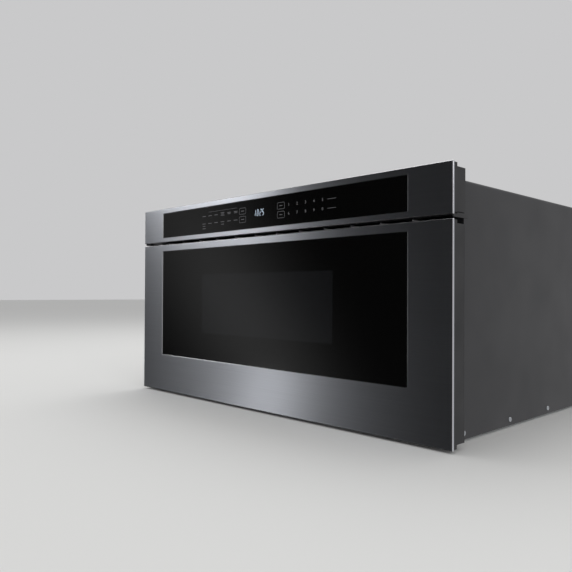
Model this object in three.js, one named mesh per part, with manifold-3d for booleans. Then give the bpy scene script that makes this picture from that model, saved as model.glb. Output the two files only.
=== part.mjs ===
// Built-in microwave drawer, 30-inch class, in millimetres.
// X runs to the right as the user sees it, Z runs up, and the front faces -Y.
// Every piece is drawn with Y = 0 on the front face and Z = 0 on the floor. The last lines move the
// whole machine forward by half its depth, so that the origin is at the middle of its footprint.

import * as THREE from 'three';
import { mergeVertices } from 'three/addons/utils/BufferGeometryUtils.js';
import Module from 'manifold-3d';

// ---- Clearances ----

const seat = 0.3; // between pieces that are fastened together
const run = 0.5; // between pieces that slide or turn
const sink = 0.5; // how far a shape reaches into the one it is joined to

// ---- Front ----

const frontWidth = 759;
const drawerHeight = 304.9;
const controlHeight = 70.6;
const ventGap = 5.5;
const frontLift = 4; // the front's lower edge above the floor
const skinSheet = 1;
const skinReturn = 5.3; // depth of the skin's turned edge
const skinBend = 0.8;
const glassMargin = 71.4; // steel left and right of both panes
const controlTopRim = 10;
const controlLowRim = 9.4;
const windowTopRim = 13.4;
const windowLowRim = 75.3;
const glassThickness = 3.2;
const glassRecess = 0.4;

// ---- Door build-up behind the skin ----

const doorDepth = 38;
const frameWeb = 3.1; // moulded web behind the glass
const frameWall = 3;
const frameLip = 12; // depth of the frame's wide front part
const frameInset = 5; // the deep part of the frame lies this far inside the front's edge
const ribThickness = 2;
const ribPitch = 36;
const ribClear = 12; // slide to the first upright rib
const ribRecess = 3; // ribs' back edge inside the frame's back edge
const viewWidth = 338;
const viewHeight = 114;
const viewRise = 184; // middle of the see-through area above the drawer front's lower edge
const screenSheet = 0.8;
const screenBorder = 20;
const frameView = 5; // frame's hole beyond the see-through area
const chokeView = 8; // choke plate's hole beyond the see-through area
const chokeWidth = 27;
const chokeSheet = 1;
const chokeLip = 12;
const chokeSlit = 2; // inner wall's edge in front of the choke's edge
const chokeStep = 0.8; // choke's edge in front of the door's back sheet
const combPitch = 36;
const combSlot = 6;
const combDepth = 8;
const chokeCoverThickness = 2;
const chokeCoverOverlap = 1.7;
const chokeCoverCorner = 3;
const paneThickness = 3.7;
const paneWidth = 376;
const paneHeight = 150;
const paneLedge = 8;
const doorBackSheet = 1.2;
const doorGap = 1.5; // closed door to mounting frame
const fingerInset = 79.5; // switch finger's middle inside the front's side edge
const fingerZ = 240;
const fingerWidth = 8;
const fingerHeight = 12;
const fingerReach = 22;
const fingerTaper = 8;
const fingerSlope = 3;

// ---- Chassis ----

const chassisInset = 25.5; // chassis' side inside the front's side edge
const headroom = 18.2; // stirrer motor to the top of the chassis
const chassisLength = 620;
const flangeSheet = 1.5;
const flangeInset = 7.5; // mounting frame's side edge inside the front's side edge
const flangeEndInset = 5; // the same at the top and the bottom
const mountHole = 2.6;
const mountHoleInset = 8;
const mountHoleEnd = 40; // first and last screw hole from the frame's ends
const passClear = 1.5; // round what passes through the mounting frame
const fingerClear = [3, 4];
const ventBridge = 14; // sheet left between two vent openings
const wiringHole = [120, 24];
const wiringDrop = 2;
const coverSheet = 1;
const coverBend = 5;
const baseSheet = 1.5;
const baseTurnUp = 14;
const padHeight = 4;
const padRadius = 16;
const padWall = 1.2;
const padInset = 42;
const padFrontInset = 50;
const padBackInset = 45;
const louvreWidth = 5;
const louvrePitch = 14;
const floorLouvreX = 210;
const floorLouvreLength = 60;
const floorLouvreBack = 85;
const sideLouvreLength = 60;
const sideLouvreDrop = 72;
const sideLouvreBack = 95;
const rearLouvreLength = 48;
const rearLouvreGap = 12;
const glandReach = 11.4;
const glandRadius = 9;
const glandBore = 5;
const glandFlange = 6;
const glandFlangeThickness = 4.7;
const glandNut = 4;
const glandNutThickness = 8.7;
const glandTail = 12;
const glandInset = 90;
const glandZ = 60;
const supportLength = 360;
const supportWidth = 40;
const supportFoot = 14;
const supportBack = 60;

// ---- Oven cavity ----

const cavityWidth = 456;
const cavityHeight = 180;
const cavityDepth = 440;
const cavityRise = 90; // cavity's floor above the ground
const cavitySheet = 1.2;
const cavityFlange = 12;
const domeSize = 220; // square recess in the ceiling for the stirrer
const domeHeight = 24;
const domeSetBack = 223.7; // cavity's front edge to the middle of the recess
const feedRadius = 32;
const lampHole = 3;
const lampPitch = 11;
const lampSetBack = 258.7;
const lampDrop = 48;
const airDrop = 30;
const airOffset = 40; // air holes beside the fan

// ---- Drawer bin and tray ----

const binClearance = 6; // bin to cavity at the sides
const binLift = 2.5; // bin above the cavity floor
const binHeight = 155;
const binLength = 422;
const binWall = 2;
const binFloor = 3;
const binCorner = 22;
const binRim = 4;
const trayThickness = 4;
const trayMargin = 4;
const trayCorner = 14;

// ---- Slides, racks and drive ----

const slideClear = 9; // door choke to slide
const slideWidth = 12.7;
const slideHeight = 45;
const slideLength = 450;
const slideSheet = 1.2;
const slideSetBack = 4;
const bracketSheet = 1.5;
const bracketHeight = 118;
const bracketFoot = 22;
const bracketTail = 6;
const bracketWindowPitch = 110;
const bracketWindowLength = 70;
const bracketWindowHeight = 30;
const bracketWindowRise = 12;
const bracketWindowCorner = 6;
const bracketWindowShift = 20;
const bushFlange = 11;
const bushRadius = 8;
const bushReach = 2.5;
const slideRise = 1.6; // rack to slide
const shaftY = 72;
const shaftZ = 36;
const shaftRadius = 5;
const shaftEnd = 3.5; // shaft's end beyond the bracket
const pressureAngle = (20 * Math.PI) / 180;
const backlash = 0.5;
const rackModule = 2.5;
const pinionTeeth = 14;
const rackTeeth = 54;
const rackWidth = 9;
const rackBody = 9.5; // solid bar above the teeth
const rackFlange = 2;
const rackFlangeHeight = 40;
const rackLead = 6; // rack's first tooth behind the door
const gearModule = 1.75;
const shaftGearTeeth = 28;
const motorGearTeeth = 14;
const gearX = 96;
const gearWidth = 10;
const gearHub = 10;
const gearHubLength = 8;
const gearHole = 3.4;
const gearHoleRing = 15.5;
const gearboxRadius = 18.5;
const gearboxLength = 30;
const motorRadius = 17;
const motorLength = 50;
const motorShaft = 3;
const motorShaftGrip = 10;
const motorCap = 6;
const motorCapLength = 4;
const motorTerminals = [5, 22, 3];
const motorTerminalRise = 10;
const plateGap = 1.5; // gears to the motor's plate
const plateMargin = 6; // plate beyond the gearbox
const plateRise = 4;
const plateFoot = 10;

// ---- Microwave generator, cooling and electrics ----

const guideWidth = 90;
const guideHeight = 40;
const guideSheet = 1.2;
const guideTail = 36; // waveguide's lower end below the magnetron's axis
const guideShaftHole = 4;
const magnetronZ = 215;
const magnetronWidth = 84;
const magnetronLength = 62;
const magnetronHeight = 78;
const magnetronSheet = 2;
const magnetronFlange = 2; // flange beyond the yoke, left and right
const magnetronFlangeCorner = 6;
const anodeRadius = 19;
const antennaRadius = 11;
const antennaLength = 20;
const antennaPort = 16;
const finPitch = 9.5;
const finSheet = 1;
const finInset = 1.5;
const filterBox = [60, 26, 50];
const filterTerminals = [8, 10, 22];
const fanRadius = 46;
const fanTip = 4; // fan tip to shroud
const fanHub = 14;
const fanHubWall = 3;
const fanHubFloor = 4;
const fanWidth = 20;
const fanX = -135;
const fanShift = 2; // fan's middle in front of the shroud's middle
const fanBlades = 5;
const fanBladeSheet = 1.6;
const fanBladeChord = 26;
const fanPitch = Math.PI / 4.5;
const fanShaft = 2.5;
const fanShaftReach = 14;
const shroudSize = 112;
const shroudDepth = 30;
const shroudArm = [3, 6];
const shroudSeat = 17;
const shroudSeatHole = 5;
const shroudStand = 70;
const shroudStandSheet = 2;
const shroudFoot = 20;
const fanMotorLength = 22;
const fanMotorStack = [50, 56];
const fanMotorStackInset = 4;
const fanMotorStackRise = 4;
const fanMotorCoil = [34, 20];
const fanMotorCoilRise = 26;
const fanMotorCap = 15;
const fanMotorBore = 16;
const ductWall = 1.5;
const stirrerRadius = 92;
const stirrerBlades = 4;
const stirrerBladeWidth = 34;
const stirrerBladeSheet = 1.2;
const stirrerTilt = Math.PI / 9;
const stirrerBladeGap = 6; // blade's tip inside the swept circle
const stirrerBladeRoot = 4;
const stirrerHub = 9;
const stirrerHubDrop = 8;
const stirrerHubRise = 6;
const stirrerShaft = 2.5;
const stirrerShaftGrip = 9;
const stirrerCoverThickness = 1.6;
const stirrerMotorRadius = 24;
const stirrerMotorHeight = 18;
const stirrerMotorEars = [68, 14];
const stirrerMotorEarSheet = 2;
const stirrerMotorEarCorner = 6;
const stirrerMotorBore = 12;
const transformerInset = 188; // middle of the transformer from the chassis' inside
const transformerBack = 55;
const transformerWidth = 94;
const transformerDepth = 75;
const transformerHeight = 88;
const transformerFoot = 9;
const transformerFootSheet = 2;
const transformerFootInset = 8;
const coilWindow = [18, 17]; // coil inside the core's width and height
const coilBulge = 14;
const coilCorner = 8;
const coilTab = [4, 8, 12];
const coilTabPitch = 14;
const coilTabDrop = 6;
const capacitorInset = 89;
const capacitorBack = 60;
const capacitorThickness = 36;
const capacitorLength = 70;
const capacitorHeight = 82;
const capacitorLift = 2;
const strapSheet = 1.2;
const strapRise = 36;
const strapHeight = 12;
const strapFoot = [9, 24, 2.5];
const capacitorBlade = [6, 1, 11];
const capacitorBladePitch = 26;
const powerBoardInset = 23;
const powerBoardBack = 30;
const powerBoardWidth = 125;
const powerBoardDepth = 130;
const powerBoardLift = 12;
const postInset = 8;
const postRadius = 3;
const powerRelay = [16, 20, 18];
const powerRelayPitch = 24;
const powerRelayInset = 30;
const powerCoilRadius = 15;
const powerCoilHeight = 24;
const powerCoilInset = 40;
const powerCoilBack = 30;
const supplyBox = [46, 38, 30];
const supplyInset = 40;
const supplyBack = 81;
const lampHolderDepth = 32;
const lampPlateSheet = 1.5;
const lampPlateWidth = 60;
const lampPlateDrop = 26;
const lampPlateRise = 48;
const lampWindow = 20;
const lampShelf = [34, 18];
const lampShelfRise = 24;
const lampSocket = 7.5;
const lampSocketTop = 36;
const lampSocketDrop = 4;
const bulbRadius = 11;
const bulbTop = 14; // bulb's levels above the lamp holes' middle
const bulbWaist = 4;
const bulbDrop = 16;
const bulbTip = 2;
const switchBody = 28;
const switchBodyHeight = 16;
const switchPlate = [26, 1.5, 30];
const switchPlateGap = 6; // finger to the angle's bent edge
const switchArmEnd = 4;
const switchBodyInset = 8;
const switchContact = [5, 0.8, 10];
const switchContactPitch = 12;
const switchContactShift = 4;
const switchContactDrop = 7;
const plungerSize = 4;
const plungerReach = 5.7;
const plungerGrip = 5;
const plungerRoom = 2; // bore behind the plunger

// ---- Control panel ----

const displayWidth = 56;
const displayHeight = 27;
const displayDepth = 7;
const displayEdge = 4; // display beyond its window in the housing
const boardWidth = 320;
const boardThickness = 1.6;
const boardInset = 3;
const boardPostInset = 8;
const boardPostRise = 6;
const controlRelay = [18, 16, 14];
const controlRelayPitch = 24;
const controlRelayX = -90;
const connector = [20, 8, 8];
const connectorPitch = 28;
const connectorX = 100;
const connectorDrop = 12;
const beeperRadius = 11;
const beeperHeight = 14;
const grilleSheet = 1.5;
const grilleRibPitch = 56;
const grilleRibWidth = 2;
const grilleDrop = 3.6; // how far the ribs hang into the vent gap
const grilleSetBack = 1; // shelf's front edge behind the frame's lip
const grilleEnd = 30; // last rib from the front's side edge, at least

// ---- Levels and places that follow from the sizes above ----

const halfFront = frontWidth / 2;
const drawerZ = [frontLift, frontLift + drawerHeight];
const controlZ = [drawerZ[1] + ventGap, drawerZ[1] + ventGap + controlHeight];
const frontX = [-halfFront, halfFront];
const glassX = [-halfFront + glassMargin, halfFront - glassMargin];
const windowZ = [drawerZ[0] + windowLowRim, drawerZ[1] - windowTopRim];
const controlGlassZ = [controlZ[0] + controlLowRim, controlZ[1] - controlTopRim];
const glassBack = glassRecess + glassThickness;
const webFront = skinSheet + seat;
const webBack = glassBack + seat + frameWeb;
const doorPlateFront = doorDepth - doorBackSheet;
const doorFrameBack = doorPlateFront - seat;
const viewZ = drawerZ[0] + viewRise;
const screenY = [webBack + seat, webBack + seat + screenSheet];
const chokeFront = screenY[1] + seat;
const chokeBack = doorPlateFront - chokeStep;
const chokeCoverY = [chokeBack + seat, chokeBack + seat + chokeCoverThickness];

const flangeY = [doorDepth + doorGap, doorDepth + doorGap + flangeSheet];
const chassisFront = flangeY[1] + seat;
const chassisBack = chassisFront + chassisLength;
const rearCoverY = [chassisBack + seat, chassisBack + seat + coverSheet];
const machineDepth = rearCoverY[1] + glandReach;
const baseZ = [padHeight, padHeight + baseSheet];
const onBase = baseZ[1] + seat;
const chassisHalf = halfFront - chassisInset;
const insideX = chassisHalf - coverSheet;
const fingerX = halfFront - fingerInset;

const cavityX = [-cavityWidth / 2, cavityWidth / 2];
const cavityZ = [cavityRise, cavityRise + cavityHeight];
const cavityY = [chassisFront, chassisFront + cavityDepth];
const cavityBack = cavityY[1] + cavitySheet;
const domeX = [-domeSize / 2, domeSize / 2];
const domeY = cavityY[0] + domeSetBack;
const domeYs = [domeY - domeSize / 2, domeY + domeSize / 2];
const domeTop = cavityZ[1] + domeHeight;
const chokeX = [cavityX[0] - chokeWidth, cavityX[1] + chokeWidth];
const chokeZ = [cavityZ[0] - chokeWidth, cavityZ[1] + chokeWidth];

const binFront = chokeCoverY[1] + seat;
const binBack = binFront + binLength;
const binHalf = cavityWidth / 2 - binClearance;
const binZ = [cavityRise + binLift, cavityRise + binLift + binHeight];

const slideInnerX = chokeX[1] + slideClear;
const slideOuterX = slideInnerX + slideWidth;
const bracketX = slideOuterX + seat;
const rackX = slideInnerX - seat - rackFlange;
const pinionX = slideInnerX + seat;
const pinionRadius = (rackModule * pinionTeeth) / 2;
const rackAddendum = 0.8 * rackModule;
const rackPitchZ = shaftZ + pinionRadius;
const rackRootZ = rackPitchZ + 1.2 * rackModule;
const slideLow = rackRootZ + rackBody + slideRise;
const slideZ = [slideLow, slideLow + slideHeight];
const rackPitch = Math.PI * rackModule;
const shaftHalf = bracketX + bracketSheet + shaftEnd;
const motorGearY = shaftY + (gearModule * (shaftGearTeeth + motorGearTeeth)) / 2;
const motorPlateX = [gearX + gearWidth + plateGap, gearX + gearWidth + plateGap + bracketSheet];
const gearboxX = [motorPlateX[1] + seat, motorPlateX[1] + seat + gearboxLength];

const guideLow = domeTop + cavitySheet + seat;
const guideTop = guideLow + guideHeight;
const stirrerMotorZ = [guideTop + seat, guideTop + seat + stirrerMotorHeight];
const chassisTop = stirrerMotorZ[1] + headroom;
const guideBack = cavityBack + seat + guideHeight;
const magnetronY = [guideBack + seat, guideBack + seat + magnetronLength];
const magnetronMiddle = (magnetronY[0] + magnetronY[1]) / 2;
const shroudX = [fanX - shroudDepth / 2, fanX + shroudDepth / 2];
const fanCentre = [magnetronMiddle, magnetronZ];
const lampPlace = { y: cavityY[0] + lampSetBack, z: cavityZ[1] - lampDrop };
const lampBack = cavityX[0] - cavitySheet - seat;
const glandPlace = [-chassisHalf + glandInset, glandZ];
const ribCount = 2 * Math.floor((halfFront - grilleEnd) / grilleRibPitch);

const halfBoard = boardWidth / 2;
const boardFront = webBack + displayDepth + 2 * seat;
const boardY = [boardFront, boardFront + boardThickness];
const displayZ = (controlGlassZ[0] + controlGlassZ[1]) / 2;

/** Left and right are as the user sees them, so the left side is at -X. */
const sides = [
  { name: 'left', sign: -1 },
  { name: 'right', sign: 1 },
];

// ---- Ranges ----

const span = (middle, size) => [middle - size / 2, middle + size / 2];
const both = (half) => [-half, half];
const grow = ([low, high], by) => [low - by, high + by];
const shrink = (range, by) => grow(range, -by);
const upFrom = (low, size) => [low, low + size];
const downFrom = (high, size) => [high - size, high];
const onSide = (sign, near, far) => [sign * near, sign * far].sort((a, b) => a - b);

/** `count` places spread evenly about zero. */
function places(count, pitch) {
  return Array.from({ length: count }, (_, index) => (index - (count - 1) / 2) * pitch);
}

// ---- Solids ----

const library = await Module();
library.setup();

/** The closed surface of a geometry as a solid that can be joined and cut. */
function toSolid(geometry) {
  const bare = geometry.clone();
  bare.deleteAttribute('normal');
  bare.deleteAttribute('uv');
  const merged = mergeVertices(bare, 1e-4);
  return new library.Manifold(
    new library.Mesh({
      numProp: 3,
      vertProperties: new Float32Array(merged.attributes.position.array),
      triVerts: new Uint32Array(merged.index.array),
    }),
  );
}

/** A solid's surface as a geometry to show. */
function toGeometry(solid) {
  const { vertProperties, triVerts, numProp } = solid.getMesh();
  if (numProp !== 3) throw new Error('a joined solid holds positions only');
  const geometry = new THREE.BufferGeometry();
  geometry.setAttribute('position', new THREE.BufferAttribute(vertProperties, 3));
  geometry.setIndex(new THREE.BufferAttribute(triVerts, 1));
  const flat = geometry.toNonIndexed();
  flat.computeVertexNormals();
  return flat;
}

const join = (first, ...rest) => rest.reduce((whole, piece) => whole.add(piece), first);
const cut = (first, ...tools) => tools.reduce((whole, tool) => whole.subtract(tool), first);

/** A box over three ranges. */
function block([x0, x1], [y0, y1], [z0, z1]) {
  const geometry = new THREE.BoxGeometry(x1 - x0, y1 - y0, z1 - z0);
  geometry.translate((x0 + x1) / 2, (y0 + y1) / 2, (z0 + z1) / 2);
  return toSolid(geometry);
}

const unitX = new THREE.Vector3(1, 0, 0);
const unitY = new THREE.Vector3(0, 1, 0);
const unitZ = new THREE.Vector3(0, 0, 1);

/** Turns an extrusion so that its shape lies across the axis: (y, z), (x, z) or (x, y). */
const turns = {
  x: new THREE.Matrix4().makeBasis(unitY, unitZ, unitX),
  y: new THREE.Matrix4().makeBasis(unitX, unitZ, unitY.clone().negate()),
  z: new THREE.Matrix4().makeBasis(unitX, unitY, unitZ),
};

/** A shape drawn across an axis and extruded along it. */
function prism(shape, axis, [from, to], curveSegments = 2) {
  const geometry = new THREE.ExtrudeGeometry(shape, {
    depth: to - from,
    bevelEnabled: false,
    curveSegments,
  });
  geometry.applyMatrix4(turns[axis]);
  geometry.translate(axis === 'x' ? from : 0, axis === 'y' ? to : 0, axis === 'z' ? from : 0);
  return toSolid(geometry);
}

/** A closed outline through points. */
const outline = (points) => new THREE.Shape(points.map(([u, v]) => new THREE.Vector2(u, v)));

/** A rectangle over two ranges, with round corners where a radius is given. */
function rectangle([u0, u1], [v0, v1], radius = 0) {
  if (!radius) return outline([[u0, v0], [u1, v0], [u1, v1], [u0, v1]]);
  const shape = new THREE.Shape();
  shape.absarc(u1 - radius, v0 + radius, radius, -Math.PI / 2, 0);
  shape.absarc(u1 - radius, v1 - radius, radius, 0, Math.PI / 2);
  shape.absarc(u0 + radius, v1 - radius, radius, Math.PI / 2, Math.PI);
  shape.absarc(u0 + radius, v0 + radius, radius, Math.PI, (3 * Math.PI) / 2);
  return shape;
}

/** A round bar along an axis, through (u, v) in the plane across it. */
function rod(axis, [u, v], radius, along, curveSegments = 6) {
  const shape = new THREE.Shape().absarc(u, v, radius, 0, 2 * Math.PI);
  return prism(shape, axis, along, curveSegments);
}

/** A rectangular tube along Y. */
function tube(x, y, z, wall) {
  return cut(block(x, y, z), block(shrink(x, wall), grow(y, 1), shrink(z, wall)));
}

/** A box along X whose section changes from one (y, z) rectangle to another. */
function taper([x0, x1], near, far) {
  const geometry = new THREE.BoxGeometry(1, 1, 1);
  const position = geometry.attributes.position;
  for (let index = 0; index < position.count; index += 1) {
    const end = position.getX(index) < 0 ? near : far;
    const y = end.y[position.getY(index) < 0 ? 0 : 1];
    const z = end.z[position.getZ(index) < 0 ? 0 : 1];
    position.setXYZ(index, position.getX(index) < 0 ? x0 : x1, y, z);
  }
  return toSolid(geometry);
}

// ---- Front faces, shared by the drawer front and the control panel ----

/** A folded steel face: a sheet with its four edges turned back and an opening for the glass. */
function facePan(z, openingZ) {
  const geometry = new THREE.ExtrudeGeometry(rectangle(shrink(frontX, skinBend), shrink(z, skinBend)), {
    depth: skinReturn,
    bevelThickness: skinBend,
    bevelSize: skinBend,
    bevelSegments: 2,
  });
  geometry.applyMatrix4(turns.y);
  geometry.translate(0, skinReturn + skinBend, 0);
  const face = toSolid(geometry);
  const rest = block(grow(frontX, 1), [skinReturn, skinReturn * 3], grow(z, 1));
  const inside = block(shrink(frontX, skinSheet), [skinSheet, skinReturn + 1], shrink(z, skinSheet));
  const opening = block(glassX, [-1, skinReturn], openingZ);
  return cut(face, rest, inside, opening);
}

/** A glass pane that lies a little behind the face, with a ground front edge. */
function facePane(openingZ) {
  const x = shrink(glassX, seat);
  const z = shrink(openingZ, seat);
  return block(x, [glassRecess, glassBack], z);
}

/** The moulded frame behind a face pan: wide lip, narrower deep part, open at the back. */
function mouldedFrame(z, back, openingZ, view) {
  const lip = block(shrink(frontX, webFront), [webFront, frameLip], shrink(z, webFront));
  const deep = block(shrink(frontX, frameInset), [webFront, back], shrink(z, frameInset));
  const pocket = block(
    shrink(frontX, frameInset + frameWall),
    [webBack, back + 1],
    shrink(z, frameInset + frameWall),
  );
  const pane = block(glassX, [0, glassBack + seat], openingZ);
  const viewHole = block(view.x, [0, webBack + 1], view.z);
  return cut(join(lip, deep), pocket, pane, viewHole);
}

// ---- Drawer front ----

const drawerSkin = () => facePan(drawerZ, windowZ);

const drawerGlass = () => facePane(windowZ);

/** Ribs that stiffen the pocket beside and below the choke. */
function doorRibs() {
  const y = [webBack - sink, doorFrameBack - ribRecess];
  const x = shrink(frontX, frameInset + frameWall - sink);
  const z = shrink(drawerZ, frameInset + frameWall - sink);
  const first = slideOuterX + ribClear;
  const upright = (middle) => block(span(middle, ribThickness), y, z);
  const uprights = [first, first + ribPitch].flatMap((middle) => [upright(-middle), upright(middle)]);
  const low = block(x, y, span((z[0] + chokeZ[0]) / 2, ribThickness));
  return join(low, ...uprights);
}

function doorFrame() {
  const view = { x: both(viewWidth / 2 + frameView), z: span(viewZ, viewHeight + 2 * frameView) };
  return join(mouldedFrame(drawerZ, doorFrameBack, windowZ, view), doorRibs());
}

/** The perforated sheet behind the see-through area. */
function windowScreen() {
  const x = both(viewWidth / 2 + screenBorder);
  return block(x, screenY, span(viewZ, viewHeight + 2 * screenBorder));
}

/** Slots that turn the choke's lip into a comb. */
function chokeComb() {
  const y = [chokeBack - combDepth, chokeBack + 1];
  const across = Math.floor((chokeX[1] - chokeX[0] - 2 * chokeLip) / combPitch);
  const upward = Math.floor((chokeZ[1] - chokeZ[0] - 2 * chokeLip) / combPitch);
  const middleZ = (chokeZ[0] + chokeZ[1]) / 2;
  const tools = [];
  for (const [edge, inward] of [[chokeZ[0], 1], [chokeZ[1], -1]]) {
    const z = onSide(1, edge - inward, edge + inward * (chokeLip + 1));
    tools.push(...places(across, combPitch).map((x) => block(span(x, combSlot), y, z)));
  }
  for (const [edge, inward] of [[chokeX[0], 1], [chokeX[1], -1]]) {
    const x = onSide(1, edge - inward, edge + inward * (chokeLip + 1));
    tools.push(...places(upward, combPitch).map((z) => block(x, y, span(middleZ + z, combSlot))));
  }
  return tools;
}

/** The door's steel pressing: a channel round the window that traps microwaves. */
function doorChoke() {
  const plate = block(chokeX, upFrom(chokeFront, chokeSheet), chokeZ);
  const outerWall = tube(chokeX, [chokeFront, chokeBack], chokeZ, chokeSheet);
  const innerWall = tube(cavityX, [chokeFront, chokeBack - chokeSlit], cavityZ, chokeSheet);
  const lip = tube(chokeX, downFrom(chokeBack, chokeSheet), chokeZ, chokeLip);
  const view = block(
    both(viewWidth / 2 + chokeView),
    [0, doorDepth],
    span(viewZ, viewHeight + 2 * chokeView),
  );
  return cut(join(plate, outerWall, innerWall, lip), view, ...chokeComb());
}

const innerPane = () =>
  block(both(paneWidth / 2), downFrom(chokeBack, paneThickness), span(viewZ, paneHeight));

/** The plastic cover over the choke channel, which also holds the inner pane. */
function chokeCover() {
  const plate = prism(
    rectangle(grow(chokeX, chokeCoverOverlap), grow(chokeZ, chokeCoverOverlap), chokeCoverCorner),
    'y',
    chokeCoverY,
  );
  const opening = block(
    both(paneWidth / 2 - paneLedge),
    grow(chokeCoverY, 1),
    span(viewZ, paneHeight - 2 * paneLedge),
  );
  return cut(plate, opening);
}

/** A tapered finger on the door's back that presses an interlock switch. */
function switchFinger(sign) {
  const z = span(fingerZ, fingerHeight);
  const tip = doorDepth + fingerReach;
  const shape = outline([
    [doorPlateFront, z[0]],
    [tip - fingerTaper, z[0]],
    [tip, z[0] + fingerSlope],
    [tip, z[1] - fingerSlope],
    [tip - fingerTaper, z[1]],
    [doorPlateFront, z[1]],
  ]);
  return prism(shape, 'x', span(sign * fingerX, fingerWidth));
}

/** The sheet that closes the door's back round the choke, with its two switch fingers. */
function doorBack() {
  const y = [doorPlateFront, doorDepth];
  const plate = block(shrink(frontX, frameInset), y, shrink(drawerZ, frameInset));
  const clear = chokeCoverOverlap + seat;
  const opening = block(grow(chokeX, clear), grow(y, 1), grow(chokeZ, clear));
  return join(cut(plate, opening), ...sides.map(({ sign }) => switchFinger(sign)));
}

// ---- Drawer bin ----

/** The bin's plan: square at the front and round at the back. */
function binPlan(front, by) {
  const half = binHalf + by;
  const back = binBack + by;
  const radius = binCorner + by;
  const shape = new THREE.Shape();
  shape.moveTo(-half, front);
  shape.lineTo(half, front);
  shape.absarc(half - radius, back - radius, radius, 0, Math.PI / 2);
  shape.absarc(-half + radius, back - radius, radius, Math.PI / 2, Math.PI);
  return shape;
}

/** Floor, two sides, a back and a turned-out rim. The door's inner face closes the front. */
function drawerBin() {
  const outside = prism(binPlan(binFront, 0), 'z', binZ, 3);
  const rim = prism(binPlan(binFront, binRim), 'z', [binZ[1] - binWall, binZ[1]], 3);
  const inside = prism(binPlan(binFront - 1, -binWall), 'z', [binZ[0] + binFloor, binZ[1] + 1], 3);
  return cut(join(outside, rim), inside);
}

function ceramicTray() {
  const x = both(binHalf - binWall - trayMargin);
  const y = [binFront + trayMargin, binBack - binWall - trayMargin];
  const low = binZ[0] + binFloor + seat;
  return prism(rectangle(x, y, trayCorner), 'z', [low, low + trayThickness], 3);
}

// ---- Telescopic slides ----

/** A channel across Y: its web's face is at `web`, and its flanges reach to `tip`. */
function channel(sign, web, tip, [z0, z1], y) {
  const inner = web + Math.sign(tip - web) * slideSheet;
  const points = [
    [web, z0],
    [tip, z0],
    [tip, z0 + slideSheet],
    [inner, z0 + slideSheet],
    [inner, z1 - slideSheet],
    [tip, z1 - slideSheet],
    [tip, z1],
    [web, z1],
  ];
  return prism(outline(points.map(([x, z]) => [sign * x, z])), 'y', y);
}

const slideStep = slideSheet + run;
const slideY = [chassisFront + slideSetBack, chassisFront + slideSetBack + slideLength];

/** Holes through a slide member's web. */
function slideHoles(sign, x, count, pitch, radius) {
  const middle = { y: (slideY[0] + slideY[1]) / 2, z: (slideZ[0] + slideZ[1]) / 2 };
  const along = onSide(sign, x - 2, x + 2);
  return places(count, pitch).map((y) => rod('x', [middle.y + y, middle.z], radius, along, 4));
}

function slideOuter(sign) {
  const member = channel(sign, slideOuterX, slideInnerX + slideStep, slideZ, slideY);
  return cut(member, ...slideHoles(sign, slideOuterX, 3, slideLength * 0.4, 3));
}

function slideMiddle(sign) {
  const z = shrink(slideZ, slideStep);
  const member = channel(sign, slideOuterX - slideStep, slideInnerX + slideStep + run, z, slideY);
  return cut(member, ...slideHoles(sign, slideOuterX - slideStep, 2, slideLength * 0.5, 6));
}

function slideInner(sign) {
  const z = shrink(slideZ, 2 * slideStep);
  const y = [doorDepth + seat, slideY[1] - slideSetBack];
  return channel(sign, slideInnerX, slideOuterX - 2 * slideStep, z, y);
}

/** The bracket that carries a slide and one end of the cross shaft, with its pressed-in bush. */
function slideBracket(sign) {
  const y = [slideY[0], slideY[1] + bracketTail];
  const sheetX = onSide(sign, bracketX, bracketX + bracketSheet);
  const web = block(sheetX, y, upFrom(onBase, bracketHeight));
  const foot = block(onSide(sign, bracketX, bracketX + bracketFoot), y, upFrom(onBase, bracketSheet));
  const shaft = [shaftY, shaftZ];
  const flange = rod('x', shaft, bushFlange, onSide(sign, pinionX + rackWidth + run, bracketX + sink));
  const sleeveX = onSide(sign, bracketX, bracketX + bracketSheet + bushReach);
  const sleeve = rod('x', shaft, bushRadius, sleeveX);
  const through = onSide(sign, pinionX, bracketX + bracketFoot);
  const bore = rod('x', shaft, shaftRadius + seat, through);
  const middle = (y[0] + y[1]) / 2 + bracketWindowShift;
  const windowZs = upFrom(onBase + bracketWindowRise, bracketWindowHeight);
  const windows = places(3, bracketWindowPitch).map((offset) => {
    const shape = rectangle(span(middle + offset, bracketWindowLength), windowZs, bracketWindowCorner);
    return prism(shape, 'x', through, 1);
  });
  return cut(join(web, foot, flange, sleeve), bore, ...windows);
}

// ---- Rack and pinion drive ----

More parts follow.
